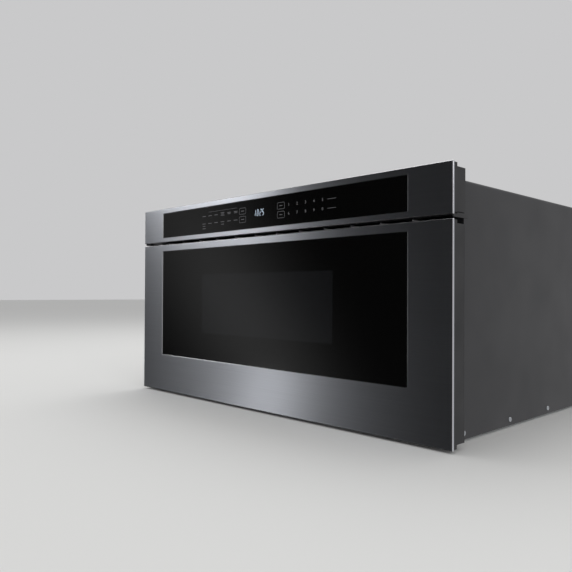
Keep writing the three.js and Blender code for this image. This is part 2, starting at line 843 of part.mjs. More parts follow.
/** A rack with its teeth down and a flange that screws to the inner slide member. */
function rack(sign) {
  const halfThickness = rackPitch / 4 - backlash / 4;
  const slope = Math.tan(pressureAngle);
  const tip = halfThickness - rackAddendum * slope;
  const root = halfThickness + (rackRootZ - rackPitchZ) * slope;
  const teethInFront = Math.floor((shaftY - doorDepth - rackLead) / rackPitch) - 0.5;
  const firstTooth = shaftY - rackPitch * teethInFront;
  const points = [[doorDepth + seat, rackRootZ]];
  for (let tooth = 0; tooth < rackTeeth; tooth += 1) {
    const y = firstTooth + tooth * rackPitch;
    points.push(
      [y - root, rackRootZ],
      [y - tip, rackPitchZ - rackAddendum],
      [y + tip, rackPitchZ - rackAddendum],
      [y + root, rackRootZ],
    );
  }
  const end = firstTooth + rackTeeth * rackPitch;
  points.push([end, rackRootZ], [end, rackRootZ + rackBody], [doorDepth + seat, rackRootZ + rackBody]);
  const bar = prism(outline(points), 'x', onSide(sign, pinionX, pinionX + rackWidth));
  const y = [doorDepth + seat, end];
  const shelf = block(onSide(sign, rackX, pinionX + 1), y, [rackRootZ, rackRootZ + rackBody]);
  const flangeX = onSide(sign, rackX, rackX + rackFlange);
  const flange = block(flangeX, y, upFrom(rackRootZ, rackFlangeHeight));
  return join(bar, shelf, flange);
}

/** Outline of an involute spur gear across X, with a tooth centred on the angle `turn`. */
function gearOutline({ teeth, module, y, z, turn, bore }) {
  const pitchRadius = (teeth * module) / 2;
  const baseRadius = pitchRadius * Math.cos(pressureAngle);
  const rootRadius = pitchRadius - 1.2 * module;
  const tipRadius = pitchRadius + 0.8 * module;
  const involute = (angle) => Math.tan(angle) - angle;
  const halfAngle = (radius) => {
    const angle = Math.acos(Math.min(1, baseRadius / radius));
    const atPitch = (Math.PI / 2 - backlash / 2 / module) / teeth;
    return atPitch + involute(pressureAngle) - involute(angle);
  };
  const flankStart = Math.max(baseRadius, rootRadius);
  const flank = [rootRadius, pitchRadius, tipRadius];
  const points = [];
  const add = (radius, angle) => {
    points.push([y + radius * Math.cos(angle), z + radius * Math.sin(angle)]);
  };
  for (let tooth = 0; tooth < teeth; tooth += 1) {
    const middle = turn + (tooth * 2 * Math.PI) / teeth;
    flank.forEach((radius) => add(radius, middle - halfAngle(Math.max(radius, flankStart))));
    flank.toReversed().forEach((radius) => add(radius, middle + halfAngle(Math.max(radius, flankStart))));
  }
  const shape = outline(points);
  if (bore) shape.holes.push(new THREE.Path().absarc(y, z, bore, 0, 2 * Math.PI));
  return shape;
}

const shaftBore = shaftRadius + seat;

function pinion(sign) {
  const shape = gearOutline({
    teeth: pinionTeeth,
    module: rackModule,
    y: shaftY,
    z: shaftZ,
    turn: Math.PI / 2,
    bore: shaftBore,
  });
  return prism(shape, 'x', onSide(sign, pinionX, pinionX + rackWidth), 6);
}

/** The large gear on the cross shaft, with a hub beside its teeth. */
function shaftGear() {
  const shape = gearOutline({
    teeth: shaftGearTeeth,
    module: gearModule,
    y: shaftY,
    z: shaftZ,
    turn: 0,
    bore: shaftBore,
  });
  const x = upFrom(gearX, gearWidth);
  const hubX = [gearX - gearHubLength, gearX + sink];
  const hub = cut(
    rod('x', [shaftY, shaftZ], gearHub, hubX),
    rod('x', [shaftY, shaftZ], shaftBore, grow(hubX, 1)),
  );
  const holes = places(4, Math.PI / 2).map((angle) => {
    const place = [shaftY + gearHoleRing * Math.cos(angle), shaftZ + gearHoleRing * Math.sin(angle)];
    return rod('x', place, gearHole, grow(x, 1), 3);
  });
  return cut(join(prism(shape, 'x', x, 6), hub), ...holes);
}

/** The gear on the drive motor, in one piece with the end of its shaft. */
function motorGear() {
  const shape = gearOutline({
    teeth: motorGearTeeth,
    module: gearModule,
    y: motorGearY,
    z: shaftZ,
    turn: Math.PI + Math.PI / motorGearTeeth,
    bore: 0,
  });
  const stubX = [gearX - motorShaft, gearboxX[0] + motorShaftGrip];
  const stub = rod('x', [motorGearY, shaftZ], motorShaft, stubX, 5);
  return join(prism(shape, 'x', [gearX, gearX + gearWidth]), stub);
}

const driveShaft = () => rod('x', [shaftY, shaftZ], shaftRadius, both(shaftHalf));

/** Gearbox, motor can and rear bearing cap on one axis. */
function driveMotor() {
  const centre = [motorGearY, shaftZ];
  const canEnd = gearboxX[1] + motorLength;
  const [terminalLength, terminalWidth, terminalThickness] = motorTerminals;
  const gearbox = rod('x', centre, gearboxRadius, gearboxX);
  const can = rod('x', centre, motorRadius, [gearboxX[1] - sink, canEnd]);
  const cap = rod('x', centre, motorCap, [canEnd - sink, canEnd + motorCapLength], 5);
  const terminals = block(
    [canEnd - sink, canEnd + terminalLength],
    span(motorGearY, terminalWidth),
    span(shaftZ + motorTerminalRise, terminalThickness),
  );
  const boreX = [gearboxX[0] - 1, gearboxX[0] + motorShaftGrip + 2];
  const bore = rod('x', centre, motorShaft + run, boreX, 5);
  return cut(join(gearbox, can, cap, terminals), bore);
}

/** The plate that holds the motor and keeps the cross shaft at the right distance. */
function motorBracket() {
  const y = [shaftY - 2 * plateMargin, motorGearY + gearboxRadius + plateMargin];
  const plate = block(motorPlateX, y, [onBase, shaftZ + gearboxRadius + plateRise]);
  const foot = block([motorPlateX[0], gearboxX[1] + plateFoot], y, upFrom(onBase, bracketSheet));
  const shaftHole = rod('x', [shaftY, shaftZ], shaftRadius + 2 * run, grow(motorPlateX, 1));
  const motorHole = rod('x', [motorGearY, shaftZ], motorShaft + 4 * run, grow(motorPlateX, 1));
  return cut(join(plate, foot), shaftHole, motorHole);
}

// ---- Chassis sheets ----

/** The plate that the door closes against and that screws to the kitchen cabinet. */
function frontFrame() {
  const x = shrink(frontX, flangeInset);
  const z = [drawerZ[0] + flangeEndInset, controlZ[1] - flangeEndInset];
  const through = grow(flangeY, 1);
  const cavityHole = block(cavityX, through, cavityZ);
  const slideZs = [rackPitchZ - rackAddendum - passClear, slideZ[1] + passClear];
  const [besideFinger, aboveFinger] = fingerClear;
  const fingerZs = span(fingerZ, fingerHeight + 2 * aboveFinger);
  const perSide = sides.flatMap(({ sign }) => [
    block(onSide(sign, rackX - passClear, slideOuterX + passClear), through, slideZs),
    block(span(sign * fingerX, fingerWidth + 2 * besideFinger), through, fingerZs),
  ]);
  const holeX = x[1] - mountHoleInset;
  const holeZs = [z[0] + mountHoleEnd, (z[0] + z[1]) / 2, z[1] - mountHoleEnd];
  const mountHoles = holeZs.flatMap((height) =>
    sides.map(({ sign }) => rod('y', [sign * holeX, height], mountHole, through, 3)),
  );
  const gap = shrink([drawerZ[1], controlZ[0]], 2 * seat);
  const vents = places(ribCount - 1, grilleRibPitch).map((middle) =>
    block(span(middle, grilleRibPitch - ventBridge), through, gap),
  );
  const wiring = block(both(wiringHole[0] / 2), through, span(displayZ - wiringDrop, wiringHole[1]));
  return cut(block(x, flangeY, z), cavityHole, ...perSide, ...mountHoles, ...vents, wiring);
}

/** The floor tray: turned-up sides, pressed feet and intake slots. */
function basePlate() {
  const half = insideX - seat;
  const y = [chassisFront, chassisBack];
  const rim = baseZ[1] + baseTurnUp;
  const section = outline([
    [-half, baseZ[0]],
    [half, baseZ[0]],
    [half, rim],
    [half - baseSheet, rim],
    [half - baseSheet, baseZ[1]],
    [-half + baseSheet, baseZ[1]],
    [-half + baseSheet, rim],
    [-half, rim],
  ]);
  const tray = prism(section, 'y', y);
  const padX = half - padInset;
  const padPlaces = [y[0] + padFrontInset, y[1] - padBackInset].flatMap((padY) => [
    [-padX, padY],
    [padX, padY],
  ]);
  const pads = padPlaces.map((place) => rod('z', place, padRadius, [0, baseZ[0] + sink], 5));
  const hollows = padPlaces.map((place) =>
    rod('z', place, padRadius - padWall, [padWall, baseZ[1] + 1], 5),
  );
  const slotY = span(chassisBack - floorLouvreBack, floorLouvreLength);
  const slots = places(2, 2 * floorLouvreX).flatMap((group) =>
    places(5, louvrePitch).map((offset) =>
      block(span(group + offset, louvreWidth), slotY, grow(baseZ, 1)),
    ),
  );
  return cut(join(tray, ...pads), ...hollows, ...slots);
}

/** The wrapper over the top and both sides, with exhaust slots towards the back. */
function outerCover() {
  const half = chassisHalf;
  const low = baseZ[0];
  const bendX = half - coverBend;
  const bendZ = chassisTop - coverBend;
  const inside = coverBend - coverSheet;
  const section = new THREE.Shape();
  section.moveTo(-half, low);
  section.lineTo(-half + coverSheet, low);
  section.absarc(-bendX, bendZ, inside, Math.PI, Math.PI / 2, true);
  section.absarc(bendX, bendZ, inside, Math.PI / 2, 0, true);
  section.lineTo(half - coverSheet, low);
  section.lineTo(half, low);
  section.absarc(bendX, bendZ, coverBend, 0, Math.PI / 2);
  section.absarc(-bendX, bendZ, coverBend, Math.PI / 2, Math.PI);
  const wrapper = prism(section, 'y', [chassisFront, chassisBack]);
  const slotZ = span(chassisTop - sideLouvreDrop, sideLouvreLength);
  const slots = sides.flatMap(({ sign }) =>
    places(7, louvrePitch).map((offset) => {
      const slotY = span(chassisBack - sideLouvreBack + offset, louvreWidth);
      return block(onSide(sign, half - 2 * coverSheet, half + 1), slotY, slotZ);
    }),
  );
  return cut(wrapper, ...slots);
}

/** The back sheet with its intake slots and the hole for the cord gland. */
function rearCover() {
  const sheet = rectangle(both(chassisHalf), [baseZ[0], chassisTop], coverBend);
  const through = grow(rearCoverY, 1);
  const slots = places(2, rearLouvreLength + rearLouvreGap).flatMap((level) =>
    places(9, louvrePitch).map((offset) =>
      block(span(fanX + offset, louvreWidth), through, span(magnetronZ + level, rearLouvreLength)),
    ),
  );
  const glandHole = rod('y', glandPlace, glandRadius + seat, through, 8);
  return cut(prism(sheet, 'y', rearCoverY, 1), ...slots, glandHole);
}

/** The cord gland: a flange outside, a nut inside and an open bore. */
function cordGland() {
  const through = [rearCoverY[0] - glandTail, machineDepth];
  const flangeY = upFrom(rearCoverY[1] + seat, glandFlangeThickness);
  const nutY = downFrom(rearCoverY[0] - seat, glandNutThickness);
  const sleeve = rod('y', glandPlace, glandRadius, through);
  const flange = rod('y', glandPlace, glandRadius + glandFlange, flangeY, 3);
  const nut = rod('y', glandPlace, glandRadius + glandNut, nutY, 3);
  return cut(join(sleeve, flange, nut), rod('y', glandPlace, glandBore, grow(through, 1)));
}

/** A hat section between the base and the cavity's floor. */
function rearSupport() {
  const top = cavityRise - cavitySheet - seat;
  const y = upFrom(cavityY[1] - supportBack, supportWidth);
  const section = outline([
    [y[0] - supportFoot, onBase],
    [y[0], onBase],
    [y[0] + baseSheet, onBase],
    [y[0] + baseSheet, top - baseSheet],
    [y[1] - baseSheet, top - baseSheet],
    [y[1] - baseSheet, onBase],
    [y[1] + supportFoot, onBase],
    [y[1] + supportFoot, onBase + baseSheet],
    [y[1], onBase + baseSheet],
    [y[1], top],
    [y[0], top],
    [y[0], onBase + baseSheet],
    [y[0] - supportFoot, onBase + baseSheet],
  ]);
  return prism(section, 'x', both(supportLength / 2));
}

// ---- Oven cavity ----

/** Holes in a square pattern through one of the cavity's side walls. */
function lampHoles() {
  const wall = grow([cavityX[0] - cavitySheet, cavityX[0]], 1);
  return places(3, lampPitch).flatMap((y) =>
    places(3, lampPitch).map((z) => rod('x', [lampPlace.y + y, lampPlace.z + z], lampHole, wall, 3)),
  );
}

/** The welded oven box: open front with a flange, stirrer dome in the ceiling, lamp and air holes. */
function ovenCavity() {
  const box = block(
    grow(cavityX, cavitySheet),
    [cavityY[0], cavityBack],
    grow(cavityZ, cavitySheet),
  );
  const flange = block(
    grow(cavityX, cavityFlange),
    upFrom(cavityY[0], cavitySheet),
    grow(cavityZ, cavityFlange),
  );
  const dome = block(
    grow(domeX, cavitySheet),
    grow(domeYs, cavitySheet),
    [cavityZ[1], domeTop + cavitySheet],
  );
  const room = block(cavityX, [cavityY[0] - 1, cavityY[1]], cavityZ);
  const domeRoom = block(domeX, domeYs, [cavityZ[1] - 1, domeTop]);
  const feed = rod('z', [0, domeY], feedRadius, grow([domeTop, domeTop + cavitySheet], 1));
  const backWall = grow([cavityY[1], cavityBack], 1);
  const air = places(5, lampPitch).flatMap((x) =>
    places(2, lampPitch).map((z) =>
      rod('y', [fanX - airOffset + x, cavityZ[1] - airDrop + z], lampHole, backWall, 3),
    ),
  );
  return cut(join(box, flange, dome), room, domeRoom, feed, ...lampHoles(), ...air);
}

/** The flat plate that hides the stirrer and lets microwaves through. */
function stirrerCover() {
  const z = upFrom(cavityZ[1] + seat, stirrerCoverThickness);
  return block(shrink(domeX, seat), shrink(domeYs, seat), z);
}

/** Hub, four sloping blades of sheet metal and the long shaft up to the motor. */
function stirrer() {
  const middle = (cavityZ[1] + seat + stirrerCoverThickness + domeTop) / 2;
  const hub = rod('z', [0, domeY], stirrerHub, [middle - stirrerHubDrop, domeTop + stirrerHubRise]);
  const shaft = rod('z', [0, domeY], stirrerShaft, [domeTop, guideTop + stirrerShaftGrip], 5);
  const length = stirrerRadius - stirrerBladeGap;
  const blades = places(stirrerBlades, (2 * Math.PI) / stirrerBlades).map((angle) => {
    const geometry = new THREE.BoxGeometry(length, stirrerBladeWidth, stirrerBladeSheet);
    geometry.rotateX(stirrerTilt);
    geometry.translate(length / 2 + stirrerBladeRoot, 0, 0);
    geometry.rotateZ(angle);
    geometry.translate(0, domeY, middle);
    return toSolid(geometry);
  });
  return join(hub, shaft, ...blades);
}

function stirrerMotor() {
  const z = stirrerMotorZ;
  const [earLength, earWidth] = stirrerMotorEars;
  const body = rod('z', [0, domeY], stirrerMotorRadius, z, 8);
  const ear = rectangle(both(earLength / 2), span(domeY, earWidth), stirrerMotorEarCorner);
  const ears = prism(ear, 'z', upFrom(z[0], stirrerMotorEarSheet), 1);
  const bore = rod('z', [0, domeY], stirrerShaft + run, [z[0] - 1, z[0] + stirrerMotorBore], 5);
  return cut(join(body, ears), bore);
}

/** The duct from the magnetron up behind the cavity and forward to the stirrer. */
function waveguide() {
  const front = domeY - guideWidth / 2;
  const turn = cavityBack + seat;
  const bottom = magnetronZ - guideTail;
  const section = (by) =>
    outline([
      [front + by, guideLow + by],
      [turn + by, guideLow + by],
      [turn + by, bottom + by],
      [guideBack - by, bottom + by],
      [guideBack - by, guideTop - by],
      [front + by, guideTop - by],
    ]);
  const outside = prism(section(0), 'x', both(guideWidth / 2));
  const inside = prism(section(guideSheet), 'x', both(guideWidth / 2 - guideSheet));
  const feed = rod('z', [0, domeY], feedRadius, grow(upFrom(guideLow, guideSheet), 1));
  const shaftHole = rod('z', [0, domeY], guideShaftHole, grow(downFrom(guideTop, guideSheet), 1), 5);
  const port = rod('y', [0, magnetronZ], antennaPort, grow(downFrom(guideBack, guideSheet), 1));
  return cut(outside, inside, feed, shaftHole, port);
}

/** Antenna, finned anode, open yoke and filter box. */
function magnetron() {
  const [front, back] = magnetronY;
  const x = both(magnetronWidth / 2);
  const z = span(magnetronZ, magnetronHeight);
  const axis = [0, magnetronZ];
  const room = block(grow(x, 1), shrink(magnetronY, magnetronSheet), shrink(z, magnetronSheet));
  const yoke = cut(block(x, magnetronY, z), room);
  const anode = rod('y', axis, anodeRadius, shrink(magnetronY, 1));
  const antenna = rod('y', axis, antennaRadius, [front - antennaLength, front + 1]);
  const fins = places(5, finPitch).map((offset) =>
    block(shrink(x, finInset), span(magnetronMiddle + offset, finSheet), shrink(z, 1)),
  );
  const [boxWidth, boxDepth, boxHeight] = filterBox;
  const filter = block(both(boxWidth / 2), [back - sink, back + boxDepth], span(magnetronZ, boxHeight));
  const [plugWidth, plugDepth, plugHeight] = filterTerminals;
  const terminals = block(
    upFrom(boxWidth / 2, plugWidth),
    span(back + boxDepth / 2, plugDepth),
    span(magnetronZ, plugHeight),
  );
  const plate = rectangle(grow(x, magnetronFlange), z, magnetronFlangeCorner);
  const flange = prism(plate, 'y', upFrom(front, magnetronSheet), 1);
  return join(yoke, anode, antenna, ...fins, filter, terminals, flange);
}

// ---- Cooling ----

/** A square housing with a round throat, three motor arms and a stand on the base. */
function fanShroud() {
  const y = span(magnetronMiddle, shroudSize);
  const z = span(magnetronZ, shroudSize);
  const [armThickness, armWidth] = shroudArm;
  const throatRadius = fanRadius + fanTip;
  const throat = rod('x', fanCentre, throatRadius, grow(shroudX, 1), 14);
  const arms = places(3, (2 * Math.PI) / 3).map((angle) => {
    const geometry = new THREE.BoxGeometry(armThickness, throatRadius + 2, armWidth);
    geometry.translate(shroudX[0] + armThickness / 2, (throatRadius + 2) / 2, 0);
    geometry.rotateX(angle + Math.PI / 2);
    geometry.translate(0, magnetronMiddle, magnetronZ);
    return toSolid(geometry);
  });
  const seatDisc = rod('x', fanCentre, shroudSeat, upFrom(shroudX[0], armThickness));
  const shaftHole = rod('x', fanCentre, shroudSeatHole, grow(upFrom(shroudX[0], armThickness), 1));
  const standY = span(magnetronMiddle, shroudStand);
  const standX = upFrom(shroudX[0], shroudStandSheet);
  const stand = block(standX, standY, [onBase, z[0] + 1]);
  const foot = block(downFrom(standX[1], shroudFoot), standY, upFrom(onBase, shroudStandSheet));
  const housing = cut(block(shroudX, y, z), throat);
  return cut(join(housing, ...arms, seatDisc, stand, foot), shaftHole);
}

/** The fan: a cupped hub, pitched blades and a stub of shaft. */
function fanBlade() {
  const middle = fanX + fanShift;
  const x = span(middle, fanWidth);
  const hub = rod('x', fanCentre, fanHub, x);
  const hollow = rod('x', fanCentre, fanHub - fanHubWall, [x[0] + fanHubFloor, x[1] + 1]);
  const shaft = rod('x', fanCentre, fanShaft, [shroudX[0] - fanShaftReach, x[0] + fanHubFloor + 1], 5);
  const length = fanRadius - fanHub + 1;
  const blades = places(fanBlades, (2 * Math.PI) / fanBlades).map((angle) => {
    const geometry = new THREE.BoxGeometry(fanBladeSheet, length, fanBladeChord);
    geometry.rotateY(fanPitch);
    geometry.translate(middle, fanRadius - length / 2, 0);
    geometry.rotateX(angle);
    geometry.translate(0, magnetronMiddle, magnetronZ);
    return toSolid(geometry);
  });
  return join(cut(hub, hollow), shaft, ...blades);
}

/** A shaded-pole motor: lamination stack, coil and bearing caps. */
function fanMotor() {
  const x = downFrom(shroudX[0] - seat, fanMotorLength);
  const [stackWidth, stackHeight] = fanMotorStack;
  const [coilWidth, coilHeight] = fanMotorCoil;
  const stack = block(
    shrink(x, fanMotorStackInset),
    span(magnetronMiddle, stackWidth),
    span(magnetronZ + fanMotorStackRise, stackHeight),
  );
  const coil = block(
    shrink(x, 1),
    span(magnetronMiddle, coilWidth),
    span(magnetronZ + fanMotorCoilRise, coilHeight),
  );
  const caps = rod('x', fanCentre, fanMotorCap, x);
  const bore = rod('x', fanCentre, fanShaft + run, [x[1] - fanMotorBore, x[1] + 1], 5);
  return cut(join(stack, coil, caps), bore);
}

/** The tapering duct from the fan to the magnetron's fins. */
function airDuct() {
  const x = [shroudX[1] + seat, -magnetronWidth / 2 - magnetronFlange - seat];
  const ends = (by) => ({
    fan: { y: span(magnetronMiddle, shroudSize - 2 * by), z: span(magnetronZ, shroudSize - 2 * by) },
    fins: {
      y: span(magnetronMiddle, magnetronLength - 2 * by),
      z: span(magnetronZ, magnetronHeight - 2 * by),
    },
  });
  const outside = ends(0);
  const inside = ends(ductWall);
  return cut(taper(x, outside.fan, outside.fins), taper(grow(x, 0.01), inside.fan, inside.fins));
}

// ---- Electrics ----

/** Laminated core on a foot plate, with the coils bulging out at both ends. */
function transformer() {
  const middle = insideX - transformerInset;
  const x = span(middle, transformerWidth);
  const y = downFrom(chassisBack - transformerBack, transformerDepth);
  const z = upFrom(onBase, transformerHeight);
  const coreZ = [z[0] + 1, z[1]];
  const footY = shrink(y, transformerFootInset);
  const foot = block(grow(x, transformerFoot), footY, upFrom(z[0], transformerFootSheet));
  const core = block(x, y, coreZ);
  const coilShape = rectangle(shrink(x, coilWindow[0]), shrink(coreZ, coilWindow[1]), coilCorner);
  const coil = prism(coilShape, 'y', grow(y, coilBulge));
  const [tabWidth, tabLength, tabHeight] = coilTab;
  const tabs = places(3, coilTabPitch).map((offset) =>
    block(
      span(middle + offset, tabWidth),
      span(y[0] - tabLength, tabLength),
      downFrom(z[1] - coilTabDrop, tabHeight),
    ),
  );
  return join(foot, core, coil, ...tabs);
}

/** An oval can under a strap, with two blade terminals on top. */
function capacitor() {
  const middle = insideX - capacitorInset;
  const x = span(middle, capacitorThickness);
  const y = downFrom(chassisBack - capacitorBack, capacitorLength);
  const middleY = (y[0] + y[1]) / 2;
  const radius = capacitorThickness / 2 - 0.1;
  const top = onBase + capacitorLift + capacitorHeight;
  const [footReach, footWidth, footThickness] = strapFoot;
  const [bladeWidth, bladeThickness, bladeHeight] = capacitorBlade;
  const can = prism(rectangle(x, y, radius), 'z', [onBase + capacitorLift, top]);
  const strap = prism(
    rectangle(grow(x, strapSheet), grow(y, strapSheet), radius + strapSheet),
    'z',
    upFrom(onBase + strapRise, strapHeight),
  );
  const foot = block(grow(x, footReach), span(middleY, footWidth), upFrom(onBase, footThickness));
  const blades = places(2, capacitorBladePitch).map((offset) =>
    block(
      span(middle, bladeWidth),
      span(middleY + offset, bladeThickness),
      upFrom(top - 1, bladeHeight),
    ),
  );
  return join(can, strap, foot, ...blades);
}

/** The power board on four posts, with relays, a coil and a sealed supply. */
function powerBoard() {
  const x = upFrom(-insideX + powerBoardInset, powerBoardWidth);
  const y = downFrom(chassisBack - powerBoardBack, powerBoardDepth);
  const low = onBase + powerBoardLift;
  const top = low + boardThickness;
  const standing = (height) => [top - sink, top + height];
  const board = block(x, y, [low, top]);
  const posts = shrink(x, postInset).flatMap((postX) =>
    shrink(y, postInset).map((postY) => rod('z', [postX, postY], postRadius, [onBase, low + sink], 4)),
  );
  const [relayWidth, relayDepth, relayHeight] = powerRelay;
  const relays = places(3, powerRelayPitch).map((offset) =>
    block(
      span(x[0] + powerRelayInset, relayWidth),
      span((y[0] + y[1]) / 2 + offset, relayDepth),
      standing(relayHeight),
    ),
  );
  const coilPlace = [x[1] - powerCoilInset, y[1] - powerCoilBack];
  const coil = rod('z', coilPlace, powerCoilRadius, standing(powerCoilHeight));
  const [supplyWidth, supplyDepth, supplyHeight] = supplyBox;
  const supply = block(
    span(x[1] - supplyInset, supplyWidth),
    span(y[1] - supplyBack, supplyDepth),
    standing(supplyHeight),
  );
  return join(board, ...posts, ...relays, coil, supply);
}

/** A socket that is screwed to the cavity's wall over the lamp holes. */
function lampHolder() {
  const { y, z } = lampPlace;
  const x = downFrom(lampBack, lampHolderDepth);
  const [shelfWidth, shelfHeight] = lampShelf;
  const plate = block(
    downFrom(lampBack, lampPlateSheet),
    span(y, lampPlateWidth),
    [z - lampPlateDrop, z + lampPlateRise],
  );
  const window = rod('x', [y, z], lampWindow, grow(downFrom(lampBack, lampPlateSheet), 1));
  const shelf = block(x, span(y, shelfWidth), upFrom(z + lampShelfRise, shelfHeight));
  const socketZ = [z + lampShelfRise - lampSocketDrop, z + lampSocketTop];
  const socket = rod('z', [lampBack - lampHolderDepth / 2, y], lampSocket, socketZ);
  return cut(join(cut(plate, window), shelf), socket);
}

/** A small bulb with its cap up in the socket: radius and height above the lamp holes' middle. */
function ovenLamp() {
  const capRadius = lampSocket - run;
  const profile = [
    [0, -bulbDrop],
    [capRadius, bulbTip - bulbDrop],
    [bulbRadius, -bulbWaist - bulbTip],
    [bulbRadius, bulbTip],
    [capRadius, bulbTop],
    [capRadius, lampSocketTop - 2 * run],
    [0, lampSocketTop - run],
  ].map(([radius, height]) => new THREE.Vector2(radius, height));
  const geometry = new THREE.LatheGeometry(profile, 14);
  geometry.rotateX(Math.PI / 2);
  geometry.translate(lampBack - lampHolderDepth / 2, lampPlace.y, lampPlace.z);
  return toSolid(geometry);
}

// ---- Interlock switches ----

const plungerTip = doorDepth + fingerReach + seat;
const switchFront = plungerTip + plungerReach;

/** An angle on the mounting frame's back with the switch body on it. */
function interlockSwitch(sign) {
  const near = fingerX + fingerWidth / 2 + switchPlateGap;
  const [plateWidth, plateSheet, plateHeight] = switchPlate;
  const plateZ = span(fingerZ, plateHeight);
  const bodyY = upFrom(switchFront, switchBody);
  const plate = block(
    onSide(sign, near, near + plateWidth),
    upFrom(chassisFront, plateSheet),
    plateZ,
  );
  const armY = [chassisFront, bodyY[1] + switchArmEnd];
  const arm = block(onSide(sign, near, near + plateSheet), armY, plateZ);
  const bodyX = onSide(sign, fingerX - switchBodyInset, near + sink);
  const body = block(bodyX, bodyY, span(fingerZ, switchBodyHeight));
  const boreSize = plungerSize + 2 * seat;
  const boreY = [switchFront - 1, switchFront + plungerGrip + plungerRoom];
  const bore = block(span(sign * fingerX, boreSize), boreY, span(fingerZ, boreSize));
  const [contactWidth, contactSheet, contactLength] = switchContact;
  const contacts = places(2, switchContactPitch).map((offset) =>
    block(
      span(sign * (fingerX - switchContactShift), contactWidth),
      span((bodyY[0] + bodyY[1]) / 2 + offset, contactSheet),
      downFrom(fingerZ - switchContactDrop, contactLength),
    ),
  );
  return cut(join(plate, arm, body, ...contacts), bore);
}

function switchPlunger(sign) {
  const y = [plungerTip, switchFront + plungerGrip];
  return block(span(sign * fingerX, plungerSize), y, span(fingerZ, plungerSize));
}

// ---- Control panel ----

const controlFrame = () => facePan(controlZ, controlGlassZ);

const controlGlass = () => facePane(controlGlassZ);

function controlHousing() {
  const view = {
    x: both(displayWidth / 2 - displayEdge),
    z: span(displayZ, displayHeight - 2 * displayEdge),
  };
  return mouldedFrame(controlZ, flangeY[0] - seat, controlGlassZ, view);
}

const displayModule = () =>
  block(both(displayWidth / 2), upFrom(webBack + seat, displayDepth), span(displayZ, displayHeight));

/** The control board with its posts, relays, connectors and beeper. */
function controlBoard() {
  const z = shrink(controlGlassZ, boardInset);
  const board = block(both(halfBoard), boardY, z);
  const behind = (height) => [boardY[1] - sink, boardY[1] + height];
  const posts = both(halfBoard - boardPostInset).flatMap((x) =>
    shrink(z, boardPostRise).map((height) =>
      rod('y', [x, height], postRadius, [webBack + seat, boardY[0] + sink], 4),
    ),
  );
  const [relayWidth, relayDepth, relayHeight] = controlRelay;
  const relays = places(4, controlRelayPitch).map((offset) =>
    block(span(controlRelayX + offset, relayWidth), behind(relayDepth), span(displayZ, relayHeight)),
  );
  const [plugWidth, plugDepth, plugHeight] = connector;
  const plugZ = span(displayZ - connectorDrop, plugHeight);
  const connectors = places(3, connectorPitch).map((offset) =>
    block(span(connectorX + offset, plugWidth), behind(plugDepth), plugZ),
  );
  const beeper = rod('y', [0, displayZ], beeperRadius, behind(beeperHeight));
  return join(board, ...posts, ...relays, ...connectors, beeper);
}

/** The strip over the vent gap: a shelf under the control housing with ribs hanging from it. */
function ventGrille() {
  const y = [frameLip + grilleSetBack, flangeY[0] - seat];
  const low = controlZ[0] + seat;
  const top = controlZ[0] + frameInset - seat;
  const section = outline([
    [y[0], low],
    [y[1], low],
    [y[1], top],
    [y[1] - grilleSheet, top],
    [y[1] - grilleSheet, low + grilleSheet],
    [y[0], low + grilleSheet],
  ]);
  const shelf = prism(section, 'x', shrink(frontX, flangeInset));
  const ribs = places(ribCount, grilleRibPitch).map((x) =>
    block(span(x, grilleRibWidth), y, [low - grilleDrop, low + sink]),
  );
  return join(shelf, ...ribs);
}

// ---- Finishes ----

const finishes = {
  steel: { color: 0xa9a9ae, roughness: 0.32, metalness: 1 },
  zincSheet: { color: 0x9c9fa1, roughness: 0.45, metalness: 1 },
  blackGlass: { color: 0x0b0b0c, roughness: 0.06, metalness: 0 },
  clearGlass: { color: 0x9aa3a3, roughness: 0.05, metalness: 0 },
  blackPlastic: { color: 0x1a1a1c, roughness: 0.5, metalness: 0 },
  screen: { color: 0x3a3b3f, roughness: 0.5, metalness: 1 },
  ovenPaint: { color: 0xb9b7b0, roughness: 0.4, metalness: 0 },
  ceramic: { color: 0xe4e2da, roughness: 0.2, metalness: 0 },
  mica: { color: 0xcfc6ae, roughness: 0.6, metalness: 0 },
  gearPlastic: { color: 0xe6e2d6, roughness: 0.45, metalness: 0 },
  circuitBoard: { color: 0x1f5a38, roughness: 0.5, metalness: 0 },
  copper: { color: 0x7a4a2c, roughness: 0.5, metalness: 0.4 },
  redPlastic: { color: 0xb23a2c, roughness: 0.45, metalness: 0 },
};

const machine = new THREE.Group();

/** Shows one piece under its own name. */
function place(name, solid, finish) {
  const mesh = new THREE.Mesh(toGeometry(solid), new THREE.MeshStandardMaterial(finishes[finish]));
  mesh.name = name;
  machine.add(mesh);
}

// ---- The machine ----

place('drawer_skin', drawerSkin(), 'steel');
place('drawer_glass', drawerGlass(), 'blackGlass');
place('door_frame', doorFrame(), 'blackPlastic');
place('window_screen', windowScreen(), 'screen');
place('door_choke', doorChoke(), 'zincSheet');
place('inner_pane', innerPane(), 'clearGlass');
place('choke_cover', chokeCover(), 'blackPlastic');
place('door_back', doorBack(), 'zincSheet');
place('drawer_bin', drawerBin(), 'ovenPaint');
place('ceramic_tray', ceramicTray(), 'ceramic');

place('control_frame', controlFrame(), 'steel');
place('control_glass', controlGlass(), 'blackGlass');
place('control_housing', controlHousing(), 'blackPlastic');
place('display_module', displayModule(), 'blackPlastic');
place('control_board', controlBoard(), 'circuitBoard');
place('vent_grille', ventGrille(), 'blackPlastic');

place('front_frame', frontFrame(), 'zincSheet');
place('base_plate', basePlate(), 'zincSheet');
place('outer_cover', outerCover(), 'zincSheet');
place('rear_cover', rearCover(), 'zincSheet');
place('cord_gland', cordGland(), 'blackPlastic');
place('rear_support', rearSupport(), 'zincSheet');

